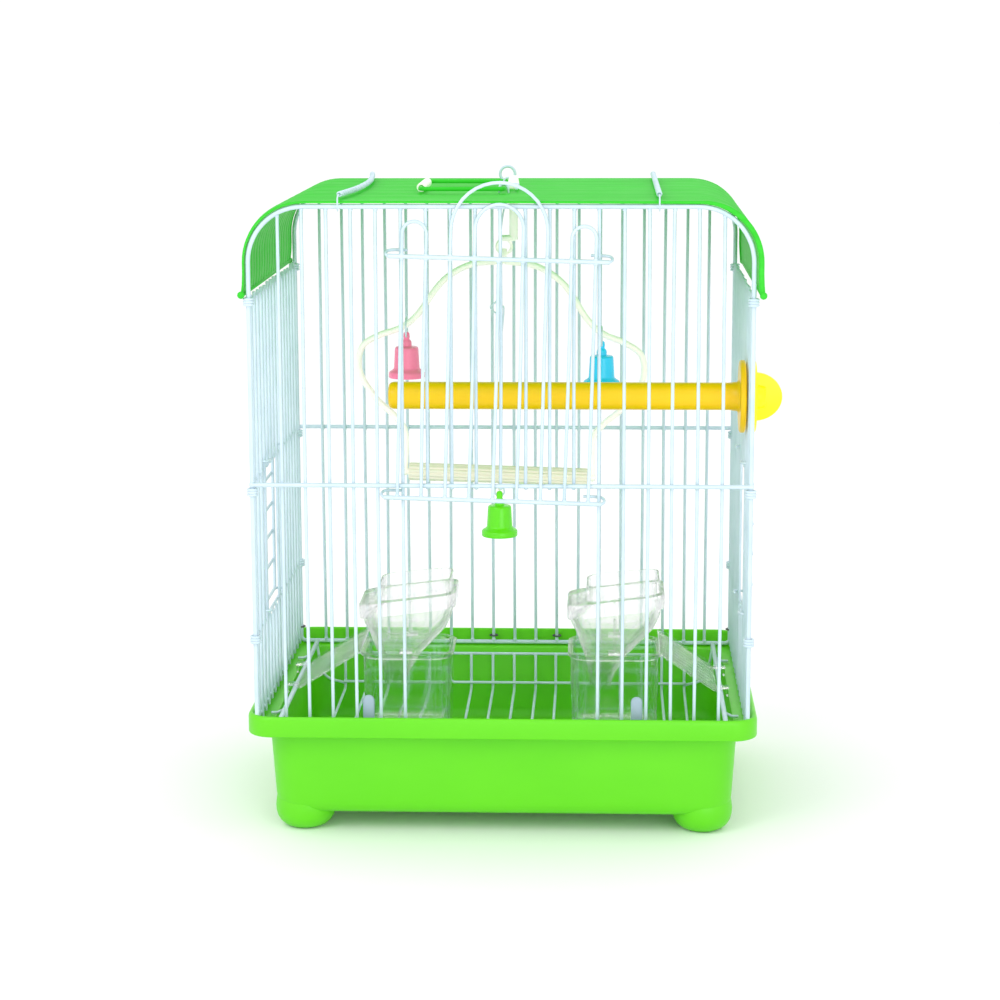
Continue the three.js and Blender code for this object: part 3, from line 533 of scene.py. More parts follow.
def boolean(mesh, tool, operation):
    """One mesh cut by another, or joined to it, with the exact solver."""
    body, other = (bpy.data.objects.new(name, data) for name, data in (("body", mesh), ("tool", tool)))
    for obj in (body, other):
        bpy.context.collection.objects.link(obj)
    modifier = body.modifiers.new("cut", "BOOLEAN")
    modifier.object = other
    modifier.operation = operation
    modifier.solver = "EXACT"
    depsgraph = bpy.context.evaluated_depsgraph_get()
    made = bpy.data.meshes.new_from_object(body.evaluated_get(depsgraph))
    for obj in (body, other):
        bpy.data.objects.remove(obj)
    return made


def joined(*meshes):
    bm = bmesh.new()
    for mesh in meshes:
        bm.from_mesh(mesh)
    whole = bpy.data.meshes.new("whole")
    bm.to_mesh(whole)
    bm.free()
    return whole


def floor_grille():
    floor_z = span("grille_floor")[0].z + WIRE / 2
    end_y, rail_x, rail_z, rim_z = 94.0, 132.0, span("grille_left_rail")[1].z - 1.4, 62.0
    work = Wirework()
    for x in steps_of(-8 * PITCH, 8 * PITCH):
        drift = waver(0.5)
        front = arc((x, -end_y + 5, floor_z + 5), 5, 180, 270, 5, Y)
        back = arc((x + drift, end_y - 5, floor_z + 5), 5, 270, 360, 5, Y)
        work.run([(x, -end_y, rim_z), *front, *back, (x + drift, end_y, rim_z)], 1.9)
        for y in (-end_y + 1.6, end_y - 1.6):
            work.weld(x + drift * (y > 0), y, floor_z + 5, size=1.25)
    half = 8 * PITCH + 1
    cross_wires = [(-end_y - 1.2, rim_z - 0.6), (end_y + 1.2, rim_z - 0.6)]
    cross_wires += [(end_y - 2.8, floor_z + 5), (0, floor_z - 1.4)]
    for y, z in cross_wires:
        work.run([(-half, y, z), (half, y, z)], 1.9)
    work.run([(-half, -end_y + 2.8, floor_z + 5), (half, -end_y + 2.8, floor_z + 5)], 1.9)
    for side in (-1, 1):
        work.run([(side * rail_x, -98, rail_z), (side * rail_x, 99, rail_z)], 3.0)
        for y in (-end_y, end_y):
            rise = [(side * 8 * PITCH, y, floor_z + 3), (side * 127, y, floor_z + 9), (side * rail_x, y, rail_z)]
            work.run(smooth_line(rise, 5), 1.9)
            work.weld(side * rail_x, y, rail_z - 1, size=1.7)
        for y in (-72, 62):
            lug = [(side * rail_x, y, rail_z), (side * 136.4, y, rail_z - 2.2), (side * 140.6, y, rail_z - 2.3)]
            work.run(lug, 1.8)
    work.settle("grille_floor", "grille_front_wall", "grille_back_wall", "grille_left_rail", "grille_right_rail")


# ---- Wire panels ----
def arch(y):
    """The closed outline of an end panel's frame wire."""
    cx, cz = HALF_W - CORNER_R, TOP_Z - CORNER_R
    right = arc((cx, y, cz), CORNER_R, 0, 90, 14)
    left = arc((-cx, y, cz), CORNER_R, 90, 180, 14)
    foot = 3.0
    low_left = arc((-HALF_W + foot, y, BOTTOM_Z + foot), foot, 180, 270, 4)
    low_right = arc((HALF_W - foot, y, BOTTOM_Z + foot), foot, 270, 360, 4)
    return [*right, *left, *low_left, *low_right]


def frame_height(x):
    past = max(0.0, abs(x) - (HALF_W - CORNER_R))
    return TOP_Z - CORNER_R + math.sqrt(CORNER_R**2 - past**2)


def end_panel(nodes, y, open_columns, outward):
    """An arched end panel: thick outline and middle wire, thin uprights welded behind the middle wire."""
    work = Wirework()
    work.run(arch(y), RAIL, closed=True)
    inner_y = y - outward * 0.8
    work.run([(-HALF_W - 1.0, y + outward * 1.0, MID_Z), (HALF_W + 1.0, y + outward * 1.0, MID_Z)], RAIL - 0.2)
    for k in range(-9, 10):
        x = k * PITCH + waver(0.25)
        low = MID_Z - 1 if abs(k) < open_columns else BOTTOM_Z
        bend = waver(0.7)
        middle = (low + frame_height(x)) / 2
        line = [(x, inner_y, low), (x + bend * 0.7, inner_y, middle), (x + bend * 0.3, inner_y, frame_height(x))]
        work.run(smooth_line(line, 4), WIRE)
        work.weld(x, inner_y, frame_height(x) - 1.9, size=1.3)
        work.weld(x + bend * 0.5, inner_y + outward * 0.6, MID_Z - 1.1, size=1.35)
        if low == BOTTOM_Z:
            work.weld(x, inner_y, BOTTOM_Z + 1.9, size=1.3)
    for side in (-1, 1):
        work.weld(side * HALF_W, y + outward * 0.6, MID_Z, size=1.9)
    work.settle(*nodes)


def side_panel(name, side):
    """A side panel tied to the end panels by rings, with its uprights left standing as short points."""
    work = Wirework()
    x = side * HALF_W
    edge = 7 * PITCH
    rows = {BOTTOM_Z + 3.4: 0, SILL_Z: 0, MID_Z: -4.4, SHOULDER_Z: 0}
    rail_x = x + side * 1.4
    for z, drop in rows.items():
        work.run([(rail_x, -edge - 1, z), (rail_x, edge + 1, z)], 1.9)
        if z == BOTTOM_Z + 3.4:
            continue
        for end in (-1, 1):
            y = end * BACK_Y
            link = [(rail_x, end * (edge - 1), z), (x, end * (abs(BACK_Y) - 4.6), z + drop)]
            work.run(link, TIE)
            work.ring((x, y, z + drop - 1.6), 2.5, TIE, X, Y)
            work.ring((x, y, z + drop), 2.5, TIE, X, Y)
            work.ring((x, y, z + drop + 1.6), 2.5, TIE, X, Y)
    for k in range(-7, 8):
        y = k * PITCH + waver(0.3)
        point = SHOULDER_Z + 3.6 + waver(0.7)
        lean = waver(0.5)
        gap = -4 < k < 0
        for low, high in ((BOTTOM_Z, SILL_Z), (MID_Z, point)) if gap else ((BOTTOM_Z, point),):
            work.run([(x, y, low), (x, y + lean, (low + high) / 2), (x, y + lean * 0.4, high)], WIRE)
        for z in rows:
            work.weld(x + side * 0.7, y + lean * 0.6, z, size=1.3)
    work.settle(*(f"{name}_{part}" for part in ("panel", "lower_grid", "front_strip", "back_strip")))


def front_door():
    """The raised door: two bars that hook round the panel's wires, uprights, and round-topped loops."""
    pitch, half_h, reach = 13.75, 69.5, 63.0
    centre = Vector((-2.6, FRONT_Y - 4, 203.8 + half_h))
    tilt = Matrix.Rotation(0.0285, 3, "Y")

    def at(u, depth, v):
        return centre + tilt @ Vector((u, depth, v))

    work = Wirework()
    for v in (-half_h, half_h):
        bar = [at(-reach, 0, v), at(reach, 0, v)]
        work.run(bar, RAIL - 0.2)
        for side in (-1, 1):
            curl = [at(side * (reach - 0.5), 0, v), at(side * (reach + 1.2), 2.2, v + 1)]
            curl += [at(side * (reach + 0.6), 5.6, v + 2.4), at(side * (reach - 3), 7.2, v + 3)]
            curl.append(at(side * 52, 7.4, v + 3))
            work.run(smooth_line(curl, 4), 1.7)
    for k in range(-4, 5):
        bend = waver(0.5)
        line = [at(k * pitch, 0.9, -half_h), at(k * pitch + bend, 0.9, 0), at(k * pitch, 0.9, half_h)]
        work.run(smooth_line(line, 4), WIRE)
        for v in (-half_h, half_h):
            work.weld(*at(k * pitch, 0.5, v + (1.1 if v < 0 else -1.1)), size=1.4)
    bows = ((0, 2 * pitch, 15.5), (0, pitch, 17), (-3.5 * pitch, pitch / 2, 13), (3.5 * pitch, pitch / 2, 13))
    for u, radius, rise in bows:
        top = [at(*p) for p in arc((u, 0.9, half_h + rise), radius, 180, 0, 18)]
        work.run([at(u - radius, 0.9, half_h - 0.6), *top, at(u + radius, 0.9, half_h - 0.6)], WIRE)
        for side in (-1, 1):
            work.weld(*at(u + side * radius, 0.5, half_h + 1.1), size=1.35)
    work.settle("front_door")


def feeder_door(node, side):
    """A small ladder that slides up the side panel on four hooks."""
    x = side * (HALF_W + 3.2)
    front, back, low, rung = -4 * PITCH - 3.4, 3.4, 126.0, 18.3
    high = low + 5 * rung
    work = Wirework()
    corner = 3.0
    loop = []
    for (y, z), start in (((back - corner, high - corner), 0), ((front + corner, high - corner), 90)):
        loop += arc((x, y, z), corner, start, start + 90, 4, Y)
    for (y, z), start in (((front + corner, low + corner), 180), ((back - corner, low + corner), 270)):
        loop += arc((x, y, z), corner, start, start + 90, 4, Y)
    work.run(loop, WIRE, closed=True)
    for i in range(1, 5):
        z = low + i * rung + waver(0.4)
        work.run([(x + side * 0.8, front - 0.8, z), (x + side * 0.8, back + 0.8, z)], 1.8)
        for y in (front, back):
            work.weld(x + side * 0.4, y, z, size=1.3)
    for z in (low, high):
        for y, way in ((front, 1), (back, -1)):
            hook = [(x, y + way * 3, z), (x - side * 1.6, y, z), (x - side * 5, y - way * 0.2, z)]
            hook += [(x - side * 6.4, y + way * 1.6, z), (x - side * 6.2, y + way * 7, z)]
            work.run(smooth_line(hook, 4), 1.5)
    work.settle(node)


# ---- Roof ----
def roof_line(clear, steps=16):
    """The sheet's path over the cage, left edge first, kept a clearance outside the frame wires."""
    end_z = span("roof_cover")[0].z + 1.6
    left, right = -HALF_W - clear, HALF_W + clear + 1.6
    top, r = TOP_Z + clear, CORNER_R + clear
    points = [Vector((left - 1, 0, end_z)), Vector((left - 0.3, 0, end_z + 6)), Vector((left, 0, end_z + 12))]
    points += arc((left + r, 0, top - r), r, 180, 90, steps)
    points += [Vector((left + r + (right - left - 2 * r) * i / 8, 0, top)) for i in range(1, 8)]
    points += arc((right - r, 0, top - r), r, 90, 0, steps)
    points += [Vector((right, 0, end_z + 12)), Vector((right + 0.3, 0, end_z + 6)), Vector((right + 0.8, 0, end_z))]
    return points


def roof_cover():
    """A bent sheet with shallow ribs, a rolled bead round its edge, and a hole for the swing's hanger."""
    thickness, rib, pitch = 1.3, 0.7, 11.4
    reach = abs(BACK_Y) + 1.0
    path = roof_line(RAIL / 2 + 0.5)
    wide = [reach * (2 * i / 160 - 1) for i in range(161)]

    def wave(y):
        return rib * max(0.0, math.cos(2 * math.pi * y / pitch)) ** 3

    rings = []
    for i, point in enumerate(path):
        along = path[min(i + 1, len(path) - 1)] - path[max(i - 1, 0)]
        out = Vector((-along.z, 0, along.x)).normalized()
        upper = [point + out * (thickness + wave(y)) + Y * y for y in wide]
        lower = [point + out * (wave(y) - 0.05) + Y * y for y in reversed(wide)]
        rings.append([place(*p) for p in upper + lower])
    bm = bmesh.new()
    loft(bm, rings)
    clean(bm)
    sheet = bpy.data.meshes.new("sheet")
    bm.to_mesh(sheet)
    bm.clear()
    turn(bm, [(0, 0), (3.6, 0), (3.6, 14), (0, 14)], (*HANGER, span("swing_hanger")[1].z - 18))
    clean(bm)
    tool = bpy.data.meshes.new("hole")
    bm.to_mesh(tool)
    bm.free()
    sheet = boolean(sheet, tool, "DIFFERENCE")
    beads = Wirework(3)
    line = roof_line(RAIL / 2 + 1.0, 18)
    for end in (-1, 1):
        y = end * (reach + 0.4)
        beads.run([p + Y * y for p in line], 3.0, taper=lambda t: 0.34 + 0.76 * min(1.0, max(0.0, (t - 0.5) * 5)))
    for p in (line[0], line[-1]):
        out = math.copysign(0.5, p.x)
        beads.run([(p.x + out, -reach - 2.2, p.z), (p.x + out, reach + 2.2, p.z)], 3.2)
        for end in (-1, 1):
            beads.weld(p.x + out, end * (reach + 1.4), p.z, size=2.2)
    settle(["roof_cover"], "sheet", joined(sheet, beads.mesh()), 55)


def roof_spring(node, x, bow):
    """A close-wound spring stretched across the roof, hooked under the end rails."""
    z = TOP_Z + 6.5
    reach = abs(BACK_Y) + 5.4
    bowed = [(x, -103, z), (x + bow * 0.8, -50, z), (x + bow, 10, z), (x + bow * 0.6, 60, z), (x, 103, z)]
    core = smooth_line(bowed, 30)
    turns, per_turn, radius, gauge = 150, 10, 1.25, 1.0
    coil = []
    for i in range(turns * per_turn + 1):
        t = i / (turns * per_turn) * (len(core) - 1)
        k = min(int(t), len(core) - 2)
        middle = core[k].lerp(core[k + 1], t - k)
        a = 2 * math.pi * i / per_turn
        coil.append(middle + X * radius * math.cos(a) + Z * radius * math.sin(a))
    work = Wirework(0)
    work.run(coil, gauge)
    for end in (-1, 1):
        tip = core[0] if end < 0 else core[-1]
        hook = [tip + Y * -end * 2, (x, end * (reach - 4.4), z), (x, end * (reach - 0.8), z - 1.4)]
        hook += [(x, end * reach, z - 3.6), (x, end * reach, TOP_Z + 0.4)]
        hook += [(x, end * (reach - 0.5), TOP_Z - 1.4), (x, end * (reach - 2.6), TOP_Z - 2.4)]
        work.run(smooth_line(hook, 5), 0.9)
    work.settle(node)


def carry_handle():
    """A folded wire handle with a ribbed grip, held by two staples."""
    low, high = span("carry_handle")
    z = (low.z + high.z) / 2 - 0.2
    y0, half, reach, gauge, bend = -20.0, 38.0, 49.0, 2.6, 5.0
    corner_a = arc((-reach + bend, y0 - half + bend, z), bend, 270, 180, 6, X, Y)
    corner_b = arc((-reach + bend, y0 + half - bend, z), bend, 180, 90, 6, X, Y)
    ends = [(0, y0 - half + 9, z), (0, y0 - half + 2.4, z), (-0.6, y0 - half + 0.6, z), (-2.2, y0 - half, z)]
    far = [Vector((p[0], 2 * y0 - p[1], p[2])) for p in reversed(ends)]
    work = Wirework(3)
    work.run([*ends, *corner_a, *corner_b, *far], gauge)
    work.settle("carry_handle")
    length, bore, ribs = 50.0, gauge / 2 + 0.3, 16
    profile = [(bore, -length / 2), (2.3, -length / 2)]
    for i in range(ribs * 4 + 1):
        t = i / (ribs * 4)
        profile.append((2.62 + 0.1 * math.cos(2 * math.pi * ribs * t), length * (t - 0.5) * 0.985))
    profile += [(2.3, length / 2), (bore, length / 2), (bore, -length / 2)]
    bm = bmesh.new()
    turn(bm, profile, (-reach, y0, z), Y, X, 20)
    moulding("handle_grip", bm)
    for node, side in (("handle_staple_front", -1), ("handle_staple_back", 1)):
        y = y0 + side * (half - 5.5)
        staple = Wirework()
        over = arc((0, y, z), gauge / 2 + 1.2, 180, 0, 12)
        staple.run([(-2.8, y, z - 2.8), *over, (2.8, y, z - 2.8)], 1.4)
        staple.settle(node)


def hanging_parts():
    low, high = span("hanging_loop")
    loop = Wirework(3)
    ring_z = high.z - 5.5
    loop.ring((-1, 30, ring_z), 4.6, 1.8)
    loop.run([(-1, 30, ring_z - 4.6), (-1, 30, low.z + 0.3)], 3.0)
    loop.weld(-1, 30, ring_z - 4.8, size=1.8)
    loop.settle("hanging_loop")
    low, high = span("swing_hanger")
    bm = bmesh.new()
    post_top = TOP_Z + 6 - POST_FOOT_Z
    turn(bm, [(0, 0), (2.2, 0), (2.6, 0.5), (2.6, post_top), (0, post_top)], (*HANGER, POST_FOOT_Z))
    block(bm, (9, 10, 3), (1, -3.5, 346), 0.7)
    cap = [rounded(7.6, 7.6, 1.2, high.z - 7, *HANGER), rounded(7.4, 7.4, 1.2, high.z - 6.2, *HANGER)]
    cap += [rounded(5.4, 5.4, 1.2, high.z - 0.6, *HANGER), rounded(4.4, 4.4, 1, high.z, *HANGER)]
    loft(bm, cap)
    clean(bm)
    post = bpy.data.meshes.new("post")
    bm.to_mesh(post)
    bm.free()
    eye = Wirework(3)
    swing_z = 336.0
    eye.ring((-2, 0, swing_z + 4.5), 4.5, 1.8, X, Z)
    eye.run([(-2, -1, 346), (-2, 0, swing_z + 8.6)], 2.8)
    settle(["swing_hanger"], "moulding", joined(post, eye.mesh()), 40)
    clip = Wirework(3)
    z = span("hanger_clip")[1].z - 0.8
    for x in (-3, 2, 7):
        finger = [(x, -16, z), (x, -26, z + 0.1), (x, -34, z), (x, -38, z - 0.5), (x, -40, z - 1.6)]
        clip.run(smooth_line(finger, 4), 1.6)
    clip.run([(-4, -17, z), (8, -17, z)], 1.8)
    clip.settle("hanger_clip")
    strand = Wirework()
    curl = arc((-6, -12, 305), 4, 90, 360, 12)
    route = [(1, -12, 371), (-2, -12, 362), (-4, -12, 345), (-5, -12, 318), *curl[::4], (-3, -12, 290)]
    strand.run(smooth_line(route, 8), 1.0)
    strand.settle("hanger_wire")


# ---- Swing, bells and perches ----
SWING = Vector((-2.0, 0, 336.0))
SWING_TILT = Matrix.Rotation(0.03, 3, "Y")
PERCH_DROP = 136.4


def on_swing(x, y, z):
    return SWING + SWING_TILT @ Vector((x, y, z))


def swing():
    outline = [(0, -4.4), (20, -7), (37, -17.5), (52, -38.5), (62, -47), (76, -52.5), (86, -60), (87, -75)]
    outline += [(77, -91), (64, -103), (58, -113), (58, -PERCH_DROP)]
    work = Wirework(3)
    for side in (-1, 1):
        line = smooth_line([on_swing(side * x, 0, z) for x, z in outline], 8)
        work.run(line, 3.9)
        work.run([on_swing(side * 58.5, 0, -PERCH_DROP), on_swing(side * 49.6, 0, -PERCH_DROP)], 4.0)
        work.weld(*on_swing(side * 58, 0, -PERCH_DROP), size=2.7)
    mesh = work.mesh()
    bm = bmesh.new()
    bm.from_mesh(mesh)
    axis = SWING_TILT @ X
    hub = [(1.5, -1.5), (3.1, -1.5), (3.3, -1.2), (3.3, 1.2), (3.1, 1.5), (1.5, 1.5), (1.5, -1.5)]
    turn(bm, hub, SWING, axis, Y, 24)
    clean(bm)
    bm.to_mesh(mesh)
    bm.free()
    settle(["swing_frame"], "moulding", mesh, 40)
    swing_perch()


def swing_perch():
    """A fluted dowel with a lug under its middle for the green bell."""
    half, radius, flutes = 55.4, 5.5, 12
    across = SWING_TILT @ Z

    def ring(h, size):
        middle = on_swing(h, 0, -PERCH_DROP)
        points = []
        for i in range(flutes * 6):
            a = 2 * math.pi * i / (flutes * 6)
            r = size - 0.65 * max(0.0, math.cos(flutes * a)) ** 2
            points.append(place(*(middle + Y * r * math.cos(a) + across * r * math.sin(a))))
        return points

    bm = bmesh.new()
    ends = [(-half, radius - 0.9), (-half + 0.3, radius - 0.3), (-half + 1.0, radius)]
    loft(bm, [ring(h, r) for h, r in ends] + [ring(-h, r) for h, r in reversed(ends)])
    clean(bm)
    dowel = bpy.data.meshes.new("dowel")
    bm.to_mesh(dowel)
    bm.free()
    lug = Wirework(3)
    middle = on_swing(1, 0, -PERCH_DROP - 7.4)
    lug.ring(middle, 2.1, 1.6, Y, Z, 20)
    settle(["swing_perch"], "moulding", joined(dowel, lug.mesh()), 50)


def bell(node, x, ring_z, across, ring_r):
    """A flared bell with a knob, hung on a wire ring, with a ball clapper on a stem."""
    mouth = ring_z - 25
    profile = [(0, 28.2), (1.2, 28.0), (1.8, 27.2), (2.0, 25.6), (1.8, 23.6), (2.7, 22.8), (3.1, 21.8), (3.1, 19.6)]
    profile += [(4.4, 19.2), (6.5, 19.0), (7.0, 18.6), (7.25, 17.7), (7.9, 6.4), (8.2, 5.4), (9.4, 4.5), (10.6, 3.8)]
    profile += [(11.1, 3.0), (11.1, 0.5), (10.9, 0.0), (9.9, 0), (9.5, 0.6), (9.2, 2.2), (7.5, 3.8), (6.9, 6)]
    profile += [(6.2, 16.4), (5.6, 17.2), (0, 17.6)]
    bm = bmesh.new()
    turn(bm, profile, (x, 0, mouth), Z, X, 48)
    moulding(node, bm, 45)
    ring = Wirework(3)
    ring.ring((x, 0, ring_z + ring_r), ring_r, 1.15, across, Z, 32)
    ring.settle(node + "_ring")
    bm = bmesh.new()
    ball = Matrix.Translation(place(x, 0, mouth + 10))
    bmesh.ops.create_uvsphere(bm, u_segments=20, v_segments=12, radius=2.3 * MM, matrix=ball)
    turn(bm, [(0, 0), (0.6, 0), (0.6, 5.4), (0, 5.4)], (x, 0, mouth + 11.6), steps=10)
    moulding(node + "_clapper", bm)


def main_perch():
    low, high = span("main_perch")
    y, z = (low.y + high.y) / 2, (low.z + high.z) / 2
    radius, flange_r = 8.1, (high.z - low.z) / 2
    start, flange = low.x, HALF_W - 5.2
    profile = [(0, 0), (5.2, 0), (6.7, 0.4), (7.6, 1.3), (8.05, 2.8), (radius, 4.5)]
    flange_h, tip = flange - start, high.x - start
    profile += [(radius, flange_h - 6), (radius + 0.5, flange_h - 1.6), (radius + 2, flange_h)]
    profile += [(flange_r - 0.8, flange_h), (flange_r, flange_h + 0.7), (flange_r, flange_h + 2.7)]
    profile += [(flange_r - 0.7, flange_h + 3.4), (4.2, flange_h + 3.4)]
    profile += [(3.8, flange_h + 3.9), (3.8, tip - 0.8), (3.2, tip), (0, tip)]
    bm = bmesh.new()
    turn(bm, profile, (start, y, z), X, Z, 48)
    moulding("main_perch", bm, 40)
    low, high = span("perch_nut")
    plate_x = low.x
    bore = 4.1
    plate = [(bore, 0), (flange_r - 0.9, 0), (flange_r, 0.8), (flange_r, 1.9), (flange_r - 1, 2.8), (9.5, 2.8)]
    plate += [(7.6, 4), (6.8, 8), (6.2, 8.5), (0, 8.5), (0, 7.8), (bore, 7.8), (bore, 0)]
    bm = bmesh.new()
    turn(bm, plate, (plate_x, y, z), X, Z, 48)
    knob_r = 14.3
    turns = [math.radians(a) for a in range(-90, 91, 7)]
    knob = [(knob_r * math.cos(a), knob_r * math.sin(a)) for a in turns]
    reach = (high.x - plate_x - 2) / knob_r
    rings = [(-2.5, 0.94), (-2.3, 0.98), (-1.7, 1.0), (1.7, 1.0), (2.3, 0.98), (2.5, 0.94)]
    loft(bm, [[place(plate_x + 2 + u * reach * s, y + depth, z + v * s) for u, v in knob] for depth, s in rings])
    moulding("perch_nut", bm, 40)


# ---- Feeders ----
def feeder(side_name, side):
    cup_low, cup_high = span(f"{side_name}_feeder_cup")
    x = (cup_low.x + cup_high.x) / 2
    w, d = 54.6, 56.0

    def level(z, shrink, r=12.0, slope=0.0):
        return rounded(w - 2 * shrink, d - 2 * shrink, max(r - shrink, 2.0), z, x, 0, slope)

    floor, top = cup_low.z, cup_high.z
    outer = [level(floor, 5), level(floor + 0.4, 3), level(floor + 1.6, 1.6), level(floor + 3.4, 0.9)]
    outer += [level(floor + 24, 0.5), level(floor + 24.6, 0.15), level(top - 3.2, 0), level(top - 2.6, -0.6)]
    outer += [level(top - 1.9, -1.7), level(top - 0.5, -1.8), level(top, -1.2)]
    inner = [level(top, 0.9), level(top - 0.7, 1.5), level(floor + 25, 1.7), level(floor + 24, 2.1)]
    inner += [level(floor + 5, 2.4), level(floor + 3, 3.4), level(floor + 2, 6)]
    bm = bmesh.new()
    loft(bm, outer + inner)
    moulding(f"{side_name}_feeder_cup", bm, 30)
    hopper(side_name, x, top)
    feeder_arm(side_name, side)


def hopper(side_name, x, cup_top):
    """The funnel that drops seed into the cup: spout, sloping shoulders, lip band and a collar cut at a slant."""
    low, high = span(f"{side_name}_feeder_hopper")
    t, rise, top_rise = 1.5, 0.125, 0.1
    top = high.z - 0.3 - top_rise * 23

    def funnel(shrink):
        s = 2 * shrink
        return [
            rounded(13 - s, 13 - s, 5.6 - shrink, low.z, x - 9),
            rounded(16 - s, 16 - s, 6 - shrink, 74, x - 8),
            rounded(27 - s, 27 - s, 8 - shrink, 87, x - 5.5),
            rounded(38 - s, 35 - s, 9 - shrink, 96, x - 3),
            rounded(48 - s, 42 - s, 10 - shrink, 104, x - 0.2, slope=0.04),
            rounded(54 - s, 45 - s, 10 - shrink, 110.5, x + 0.4, slope=0.08),
            rounded(56.5 - s, 46.6 - s, 10 - shrink, 115.3, x + 0.6, slope=rise),
        ]

    def collar(shrink):
        s = 2 * shrink
        return [
            rounded(45.4 - s, 40.6 - s, 9 - shrink, 125.6, x + 5, slope=rise),
            rounded(45 - s, 40 - s, 9 - shrink, 130, x + 5, slope=0.11),
            rounded(45.4 - s, 40.4 - s, 9 - shrink, top - 0.9, x + 5, slope=top_rise),
        ]

    lip = [
        rounded(59.2, 49.4, 9, 115.7, x + 0.6, slope=rise),
        rounded(60.0, 50.2, 9, 116.5, x + 0.6, slope=rise),
        rounded(60.4, 50.4, 9, 123.8, x + 0.6, slope=rise),
        rounded(59.4, 49.6, 8.6, 124.8, x + 0.6, slope=rise),
    ]
    top_edge = [
        rounded(44.8, 39.8, 8.8, top, x + 5, slope=top_rise),
        rounded(43, 38, 8, top, x + 5, slope=top_rise),
    ]
    inward = list(reversed(collar(t)))
    inward[-1] = rounded(42.2, 37.4, 7.5, 124, x + 5, slope=rise)
    bm = bmesh.new()
    loft(bm, funnel(0) + lip + collar(0) + top_edge + inward + list(reversed(funnel(t))), capped=False)
    clean(bm)
    for end in (-1, 1):
        block(bm, (8, 9.6, 1.7), (x, end * 23.6, cup_top + 1.2), 0.5)
        block(bm, (1.6, 1.8, 21), (x, end * 23.4, 102.8), 0.4)
    moulding(f"{side_name}_feeder_hopper", bm, 30)


def feeder_arm(side_name, side):
    """The sloping plate with running ribs that hooks over the grille's side rail."""
    low, high = span(f"{side_name}_feeder_arm")
    inner_x = low.x if side > 0 else high.x
    rail_z, rail_x, half, drop = 68.2, 129.6, 31.0, 24.0
    run = abs(rail_x - abs(inner_x))
    length = math.hypot(run, drop)
    along = Vector((side * run, 0, -drop)) / length
    up = Vector((side * drop, 0, run)) / length
    start = Vector((inner_x, 0, high.z - 1.6))
    ribs = [(half - 1.2) * (i / 4 - 1) for i in range(9)]
    wide = [half * (i / 124 - 1) for i in range(249)]

    def height(y):
        return max(math.exp(-(((y - rib) / 0.75) ** 4)) for rib in ribs)

    def section(distance, thick):
        upper = [(y, thick * (0.35 + 1.25 * height(y))) for y in wide]
        lower = [(y, -thick * (0.35 + 0.65 * height(y))) for y in reversed(wide)]
        return [place(*(start + along * distance + Y * y + up * h)) for y, h in upper + lower]

    bm = bmesh.new()
    ends = ((0.4, 0.7), (1.0, 1.0), (length - 1.2, 1.0), (length - 0.4, 0.7))
    loft(bm, [section(distance, thick) for distance, thick in ends])
    for y in (6 - half, half - 6):
        block(bm, (7.8, 6, 1.5), (inner_x + side * (run + 3.4), y, rail_z + 3.2), 0.4)
        block(bm, (1.5, 6, 4.4), (inner_x + side * (run + 6.3), y, rail_z + 0.1), 0.4)
    moulding(f"{side_name}_feeder_arm", bm)


# ---- Clips ----
def tray_clip(node):
    """A small round-topped tab on a front wire."""
    low, high = span(node)
    x, y = (low.x + high.x) / 2, (low.y + high.y) / 2
    half, thick = (high.x - low.x) / 2, (high.y - low.y) / 2
    outline = [(-half, low.z), (half, low.z)]
    outline += [(p.x, p.z) for p in arc((0, 0, high.z - half), half, 0, 180, 14)]
    rings = [(-thick, 0.86), (-thick * 0.8, 0.96), (-thick * 0.4, 1)]
    rings += [(thick * 0.4, 1), (thick * 0.8, 0.96), (thick, 0.86)]
    middle = (low.z + high.z) / 2
    bm = bmesh.new()
    loft(bm, [[place(x + u * s, y + depth, middle + (v - middle) * s) for u, v in outline] for depth, s in rings])
    moulding(node, bm, 50)


def bottom_clip(node):
    """A dark ring that ties the back panel to the rim."""
    low, high = span(node)
    middle = (low + high) / 2
    work = Wirework(3)
    work.ring(middle, (high.x - low.x) / 2 - 0.5, 1.0, X, Y)
    work.settle(node)


# ---- Stage ----
def camera():
    """Long lens, a little above and to the right, looking slightly down."""
    yaw, pitch, roll = -0.043, 0.185, -0.003
    forward = Vector((math.sin(yaw) * math.cos(pitch), math.cos(yaw) * math.cos(pitch), -math.sin(pitch)))
    right = Vector((math.cos(yaw), -math.sin(yaw), 0))
    up = right.cross(forward)
    right, up = right * math.cos(roll) + up * math.sin(roll), up * math.cos(roll) - right * math.sin(roll)
    data = bpy.data.cameras.new("camera")
    data.lens = 90.27
    data.sensor_width = 36
    data.dof.use_dof = False
    view = bpy.data.objects.new("camera", data)
    turn_to = Matrix((right, up, -forward)).transposed().to_4x4()
    view.matrix_world = Matrix.Translation(place(60.72, -1528.4, 469.7)) @ turn_to
    bpy.context.collection.objects.link(view)
    bpy.context.scene.camera = view


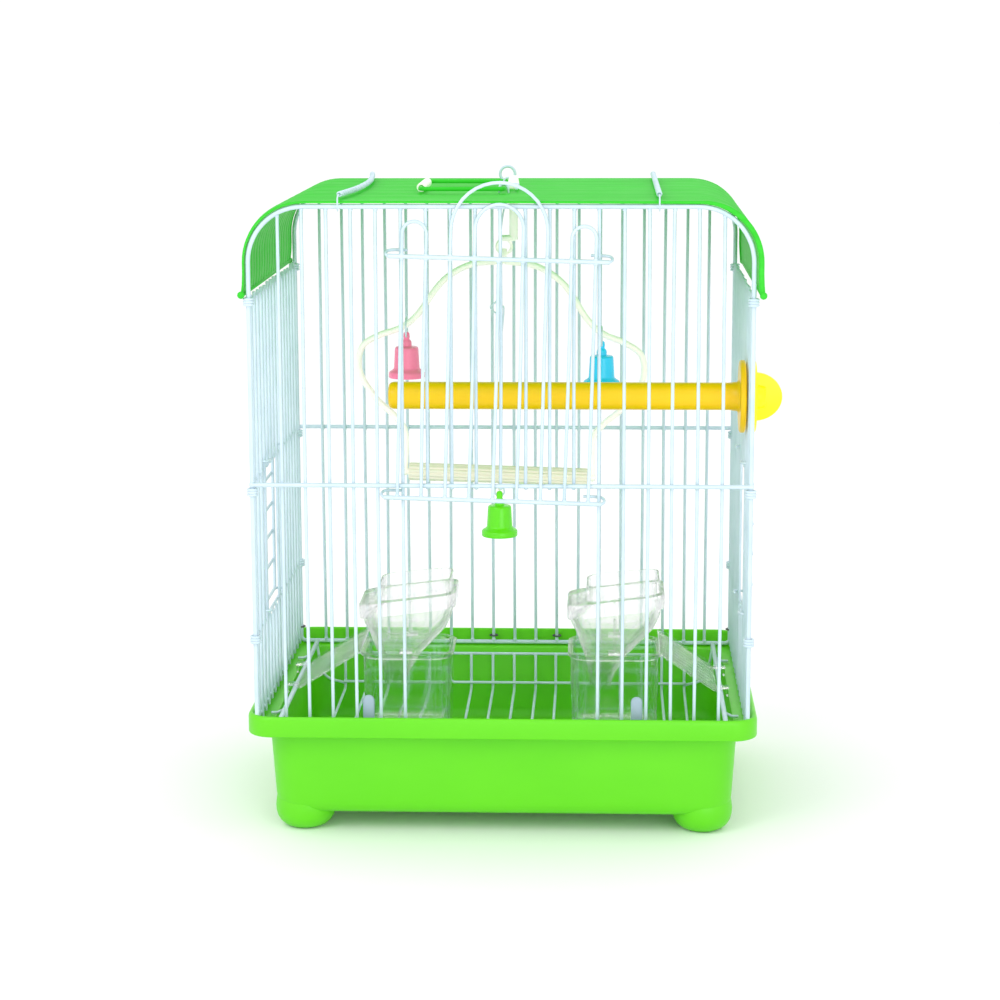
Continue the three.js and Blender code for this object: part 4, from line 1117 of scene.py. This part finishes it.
def softbox(name, where, size, power):
    data = bpy.data.lights.new(name, "AREA")
    data.shape = "DISK"
    data.size = size
    data.energy = power
    lamp = bpy.data.objects.new(name, data)
    lamp.location = where
    lamp.rotation_euler = (Vector((0, 0, 0.18)) - Vector(where)).to_track_quat("-Z", "Y").to_euler()
    bpy.context.collection.objects.link(lamp)


def studio():
    bpy.context.scene.view_settings.view_transform = "Standard"
    world = bpy.data.worlds.new("studio")
    bpy.context.scene.world = world
    world.use_nodes = True
    sky = world.node_tree.nodes["Background"]
    sky.inputs["Color"].default_value = (1, 1, 1, 1)
    sky.inputs["Strength"].default_value = 1.06
    softbox("key", (-0.9, -1.2, 1.1), 0.8, 5.5)
    softbox("fill", (0.7, -1.7, 0.5), 1.1, 6.5)
    softbox("back", (0.2, 1.3, 1.2), 1.0, 1.0)
    paper = Finish("floor", {"Specular IOR Level": 0.1})
    paper.colour(paper.noise(3, 2), (0.995, 0.995, 0.995), (0.975, 0.975, 0.975))
    paper.roughness(paper.noise(50, 2), 0.8, 0.95)
    bm = bmesh.new()
    bmesh.ops.create_grid(bm, x_segments=1, y_segments=1, size=12.0)
    mesh = bpy.data.meshes.new("floor")
    bm.to_mesh(mesh)
    bm.free()
    floor = bpy.data.objects.new("floor", mesh)
    mesh.materials.append(paper.material)
    bpy.context.collection.objects.link(floor)


camera()
studio()
tray()
floor_grille()
end_panel(("front_panel", "front_left_grid", "front_right_grid", "front_bottom_wire"), FRONT_Y, 4, -1)
end_panel(("back_panel",), BACK_Y, 0, 1)
side_panel("left", -1)
side_panel("right", 1)
front_door()
feeder_door("left_feeder_door", -1)
feeder_door("right_feeder_door", 1)
roof_cover()
roof_spring("left_roof_spring", -91.5, 6)
roof_spring("right_roof_spring", 90, 0)
carry_handle()
hanging_parts()
swing()
bell("pink_bell", -62.2, 285, Y, 6)
bell("blue_bell", 57.6, 279.7, Y, 6)
bell("green_bell", -5.3, 186, X, 3)
main_perch()
feeder("left", -1)
feeder("right", 1)
for clip_node in ("left_tray_clip", "right_tray_clip"):
    tray_clip(clip_node)
for clip_number in range(1, 5):
    bottom_clip(f"bottom_clip_{clip_number}")
